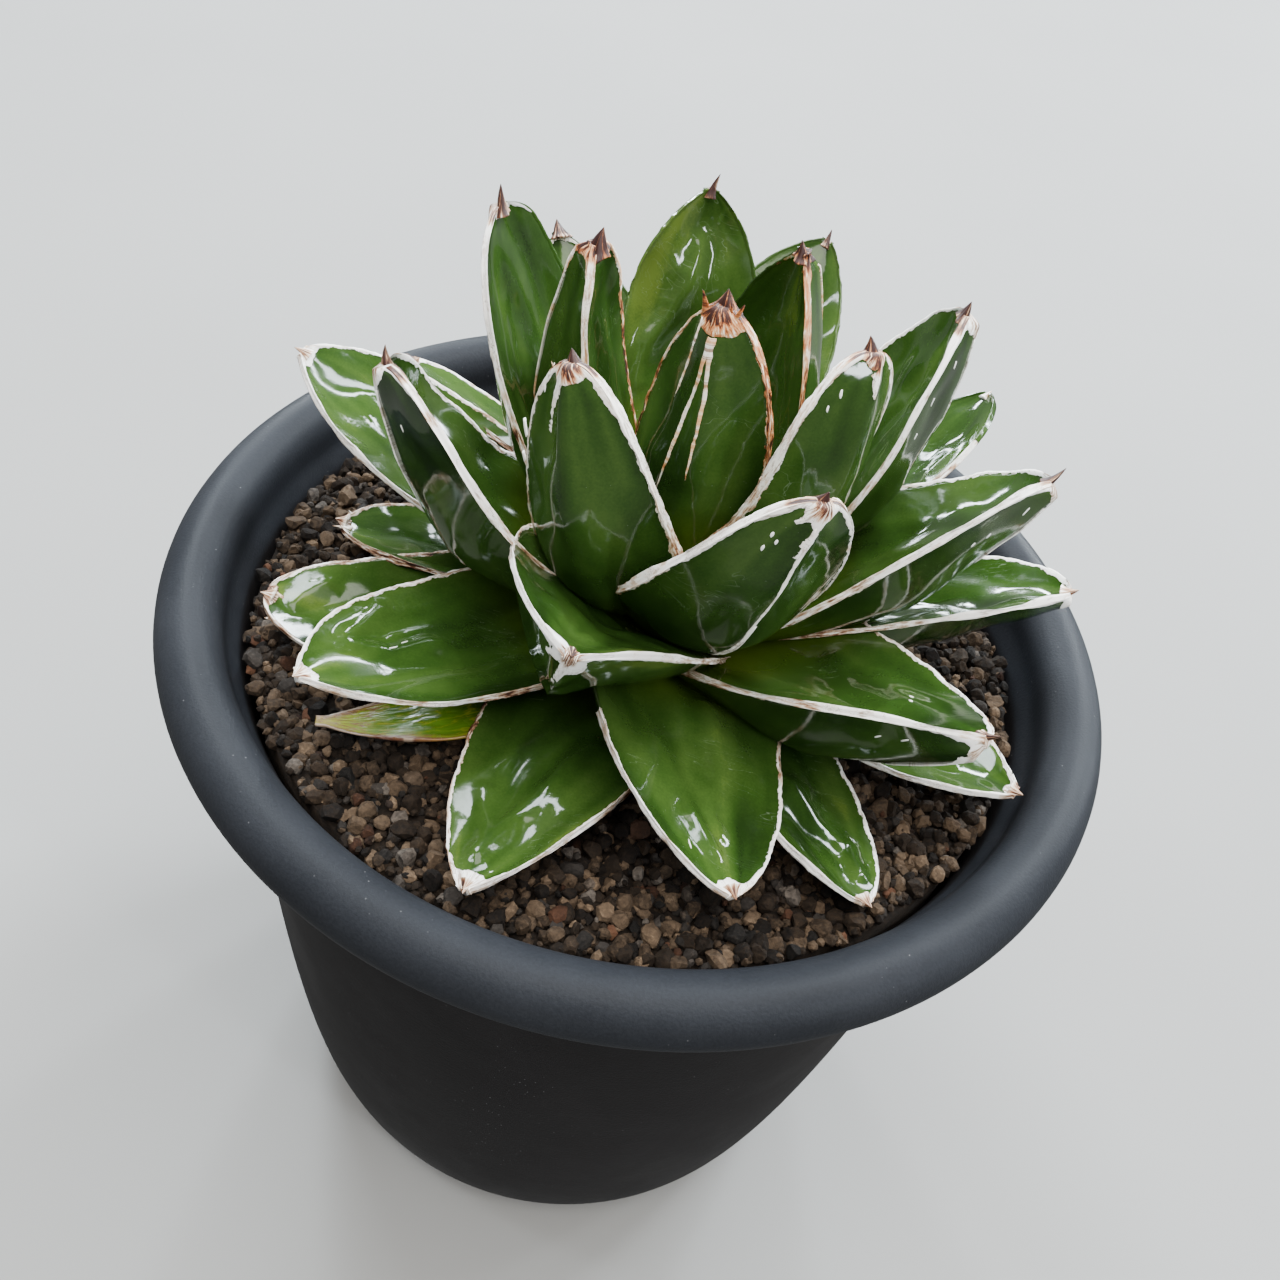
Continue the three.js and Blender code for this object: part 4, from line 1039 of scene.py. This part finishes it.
def soil_material():
    """Broken mineral grains: warm brown, a few grey or reddish, rough and matt."""
    n = Nodes("gravel")
    tone, hue = n.attributes("tone", "hue_pick")
    where = n.where()
    grit = n.noise(where, 1500.0, 5.0, 0.7)
    blot = n.noise(where, 420.0, 3.0)
    value = tone * 0.7 + (grit - 0.5) * 0.75 + (blot - 0.5) * 0.4
    brown = n.ramp(value, (0.0, (0.003, 0.0018, 0.0012)), (0.35, (0.0195, 0.0125, 0.0075)),
                   (0.7, (0.084, 0.056, 0.035)), (1.0, (0.24, 0.168, 0.108)))
    grey = n.ramp(value, (0.0, (0.003, 0.0024, 0.0021)), (0.5, (0.027, 0.0225, 0.0195)),
                  (1.0, (0.16, 0.133, 0.11)))
    red = n.ramp(value, (0.0, (0.01, 0.0042, 0.0022)), (0.6, (0.064, 0.028, 0.015)),
                 (1.0, (0.14, 0.077, 0.043)))
    colour = n.mix(n.span(hue, 0.8, 0.84), brown, grey)
    colour = n.mix(n.span(hue, 0.96, 0.98), colour, red)
    normal = n.bump(grit, 0.9, 0.3)
    normal = n.bump(blot, 0.6, 0.5, normal)
    n.set(Base_Color=colour, Roughness=n.span(grit, 0.2, 0.8, 0.85, 0.98), Normal=normal)
    n.shader.inputs["Specular IOR Level"].default_value = 0.2
    return n.material


def pot_material():
    """Black moulded plastic with painted light on the rim (lighter, bluer) and painted shade on the wall
    (darker, warmer): a grained rim, faint turned lines on the wall, dust in specks and smears.
    """
    n = Nodes("black_plastic")
    where = n.where()
    grain = n.noise(where, 1900.0, 3.0, 0.6)
    cloud = n.noise(where, 34.0, 4.0)
    lines = n.noise(n.stretch(where, (6.0, 6.0, 900.0)), 1.0, 3.0)
    # painted light and shade: above this height the plastic is a lit copy, lighter and bluer as a painted
    # sheen; below it the wall is a shaded copy, darker and warmer as painted shade
    lit_rim_share = n.span(n.height(where), 0.1345, 0.1365)
    rim_tone = cloud * 0.6 + grain * 0.4
    rim = n.ramp(rim_tone, (0.3, (0.0098, 0.0108, 0.0132)), (0.7, (0.0195, 0.0212, 0.0254)))
    wall = n.ramp(cloud, (0.3, (0.0072, 0.0065, 0.0068)), (0.7, (0.0118, 0.0106, 0.011)))
    colour = n.mix(lit_rim_share, wall, rim)
    # specks of dust, and a thin film in smears
    dust = n.span(n.cells(where, 620.0), 0.10, 0.05) * n.span(n.noise(where, 90.0, 2.0), 0.52, 0.66)
    colour = n.mix(dust * 0.4, colour, (0.3, 0.3, 0.31))
    film = n.span(n.noise(where, 18.0, 5.0, 0.7), 0.5, 0.8) * 0.008
    colour = n.mix(film, colour, (0.5, 0.5, 0.52))
    rough = n.span(cloud, 0.3, 0.7, 0.44, 0.54) + dust * 0.2
    normal = n.bump(grain, 0.55, 0.1)
    normal = n.bump(lines, 0.12, 0.12, normal)
    n.set(Base_Color=colour, Roughness=rough, Normal=normal)
    n.shader.inputs["Specular IOR Level"].default_value = 0.06
    return n.material


def floor_material():
    """A plain pale floor with faint clouds."""
    n = Nodes("pale_floor")
    tone = n.noise(n.where(), 3.0, 3.0)
    n.set(Base_Color=n.ramp(tone, (0.3, (0.2, 0.198, 0.194)), (0.7, (0.22, 0.218, 0.213))), Roughness=0.85)
    return n.material


# ---------------- camera
# found from the rim's ellipse: millimetres, degrees, and the rest in pixels of a square picture
DISTANCE, ELEVATION, ROLL = 256.836, 43.059, -13.305
FOCAL, OFF_X, OFF_Y, PICTURE = 1350.0, 10.807, -49.054, 1280.0
SENSOR = 36.0  # millimetres wide


def camera_axes():
    """Right, up and forward axes of the camera, one in each row, and its place."""
    el, roll = math.radians(ELEVATION), math.radians(ROLL)
    a, b = math.atan(OFF_X / FOCAL), math.atan(OFF_Y / FOCAL)
    base = Matrix(((1, 0, 0), (0, math.sin(el), math.cos(el)), (0, math.cos(el), -math.sin(el))))
    spin = Matrix(((math.cos(roll), -math.sin(roll), 0), (math.sin(roll), math.cos(roll), 0), (0, 0, 1)))
    pan = Matrix(((math.cos(a), 0, math.sin(a)), (0, 1, 0), (-math.sin(a), 0, math.cos(a))))
    tilt = Matrix(((1, 0, 0), (0, math.cos(b), -math.sin(b)), (0, math.sin(b), math.cos(b))))
    back, up = DISTANCE * math.cos(el), DISTANCE * math.sin(el)
    return tilt @ pan @ spin @ base, Vector((0, -back, up + POT_HEIGHT)) * MM


def set_camera():
    """The view of the plant from above its front."""
    axes, place = camera_axes()
    lens = bpy.data.cameras.new("camera")
    lens.sensor_width = SENSOR
    lens.lens = SENSOR * FOCAL / PICTURE
    lens.clip_start = 0.01
    camera = add_object("camera", lens)
    turn = Matrix((axes[0], axes[1], -axes[2])).transposed()
    camera.matrix_world = Matrix.Translation(place) @ turn.to_4x4()
    bpy.context.scene.camera = camera


# ---------------- floor, light
COOL, COOLER, COOLEST, SUNNY = (0.88, 0.95, 1.0), (0.86, 0.945, 1.0), (0.85, 0.94, 1.0), (1.0, 0.97, 0.92)
# name, azimuth from +X and elevation in degrees, distance, width and height in metres, brightness, colour
LIGHTS = [
    ("strip_back_right", 62, 21, 1.6, 0.09, 1.1, 96, COOLEST),
    ("strip_back", 92, 23, 1.6, 0.09, 1.1, 96, COOLEST),
    ("strip_back_left", 119, 21, 1.6, 0.09, 1.1, 96, COOLEST),
    ("strip_side", 42, 36, 1.6, 0.25, 0.6, 60, COOLER),
    ("high_back_right", 50, 60, 1.6, 0.4, 0.5, 42, COOLER),
    ("high_back_left", 130, 55, 1.6, 0.45, 0.6, 42, COOLER),
    ("strip_left", 182, 46, 1.6, 0.09, 0.6, 50, COOLER),
    ("strip_right", 326, 23, 1.6, 0.12, 0.45, 75, COOL),
    ("strip_low_right", 31, 13, 1.6, 0.1, 0.6, 80, COOLER),
    ("top", 290, 76, 2.0, 2.0, 2.0, 9.7, SUNNY),
]


def lay_floor(half=3):
    """The plain floor that the pot stands on."""
    mesh = bpy.data.meshes.new("floor")
    corners = [(-half, -half, 0), (half, -half, 0), (half, half, 0), (-half, half, 0)]
    mesh.from_pydata(corners, [], [(0, 1, 2, 3)])
    mesh.materials.append(floor_material())
    floor = add_object("floor", mesh)
    floor.visible_glossy = False  # the glossy leaves mirror the dim room instead


def soft_light(name, azimuth, elevation, distance, width, height, brightness, colour):
    """A flat softbox that looks at the plant; the camera doesn't see it."""
    aim = Vector((0.0, 0.0, 0.16))
    a, e = math.radians(azimuth), math.radians(elevation)
    spot = aim + distance * Vector((math.cos(e) * math.cos(a), math.cos(e) * math.sin(a), math.sin(e)))
    data = bpy.data.lights.new(name, "AREA")
    data.shape = "RECTANGLE"
    data.size, data.size_y = width, height
    data.energy = brightness * math.pi * width * height
    data.color = colour
    lamp = add_object(name, data)
    lamp.visible_camera = False
    turn = (aim - spot).to_track_quat("-Z", "Y").to_matrix()
    lamp.matrix_world = Matrix.Translation(spot) @ turn.to_4x4()


def set_world(colour=(0.92, 0.93, 0.92), strength=0.4):
    """The dim, even light of the room."""
    world = bpy.data.worlds.new("studio")
    world.use_nodes = True
    background = world.node_tree.nodes["Background"]
    background.inputs[0].default_value = (*colour, 1.0)
    background.inputs[1].default_value = strength
    bpy.context.scene.world = world


# ---------------- build
green, horn, gravel = leaf_material(), horn_material(), soil_material()
for leaf in LEAVES:
    build_leaf(leaf, green, f"leaf_{leaf.number:02d}", "leaf")
    build_border(leaf, horn)
build_leaf(WITHERED, withered_material(), "withered_leaf", "withered", inset=0.0, stations=44)
build_stem(stem_material())
build_soil_bed(gravel)
build_grains("soil_crumbs", 13, 2.1, (0.55, 0.95), 136.6, gravel, 74.0, divided=False)
build_grains("soil_grains_low", 11, 2.7, (1.1, 1.6), 136.0, gravel, 73.8, divided=False)
build_grains("soil_grains_top", 12, 3.5, (1.2, 2.2), 136.9, gravel, BED_RADIUS)
build_pot(pot_material())

set_camera()
lay_floor()
for light in LIGHTS:
    soft_light(*light)
set_world()
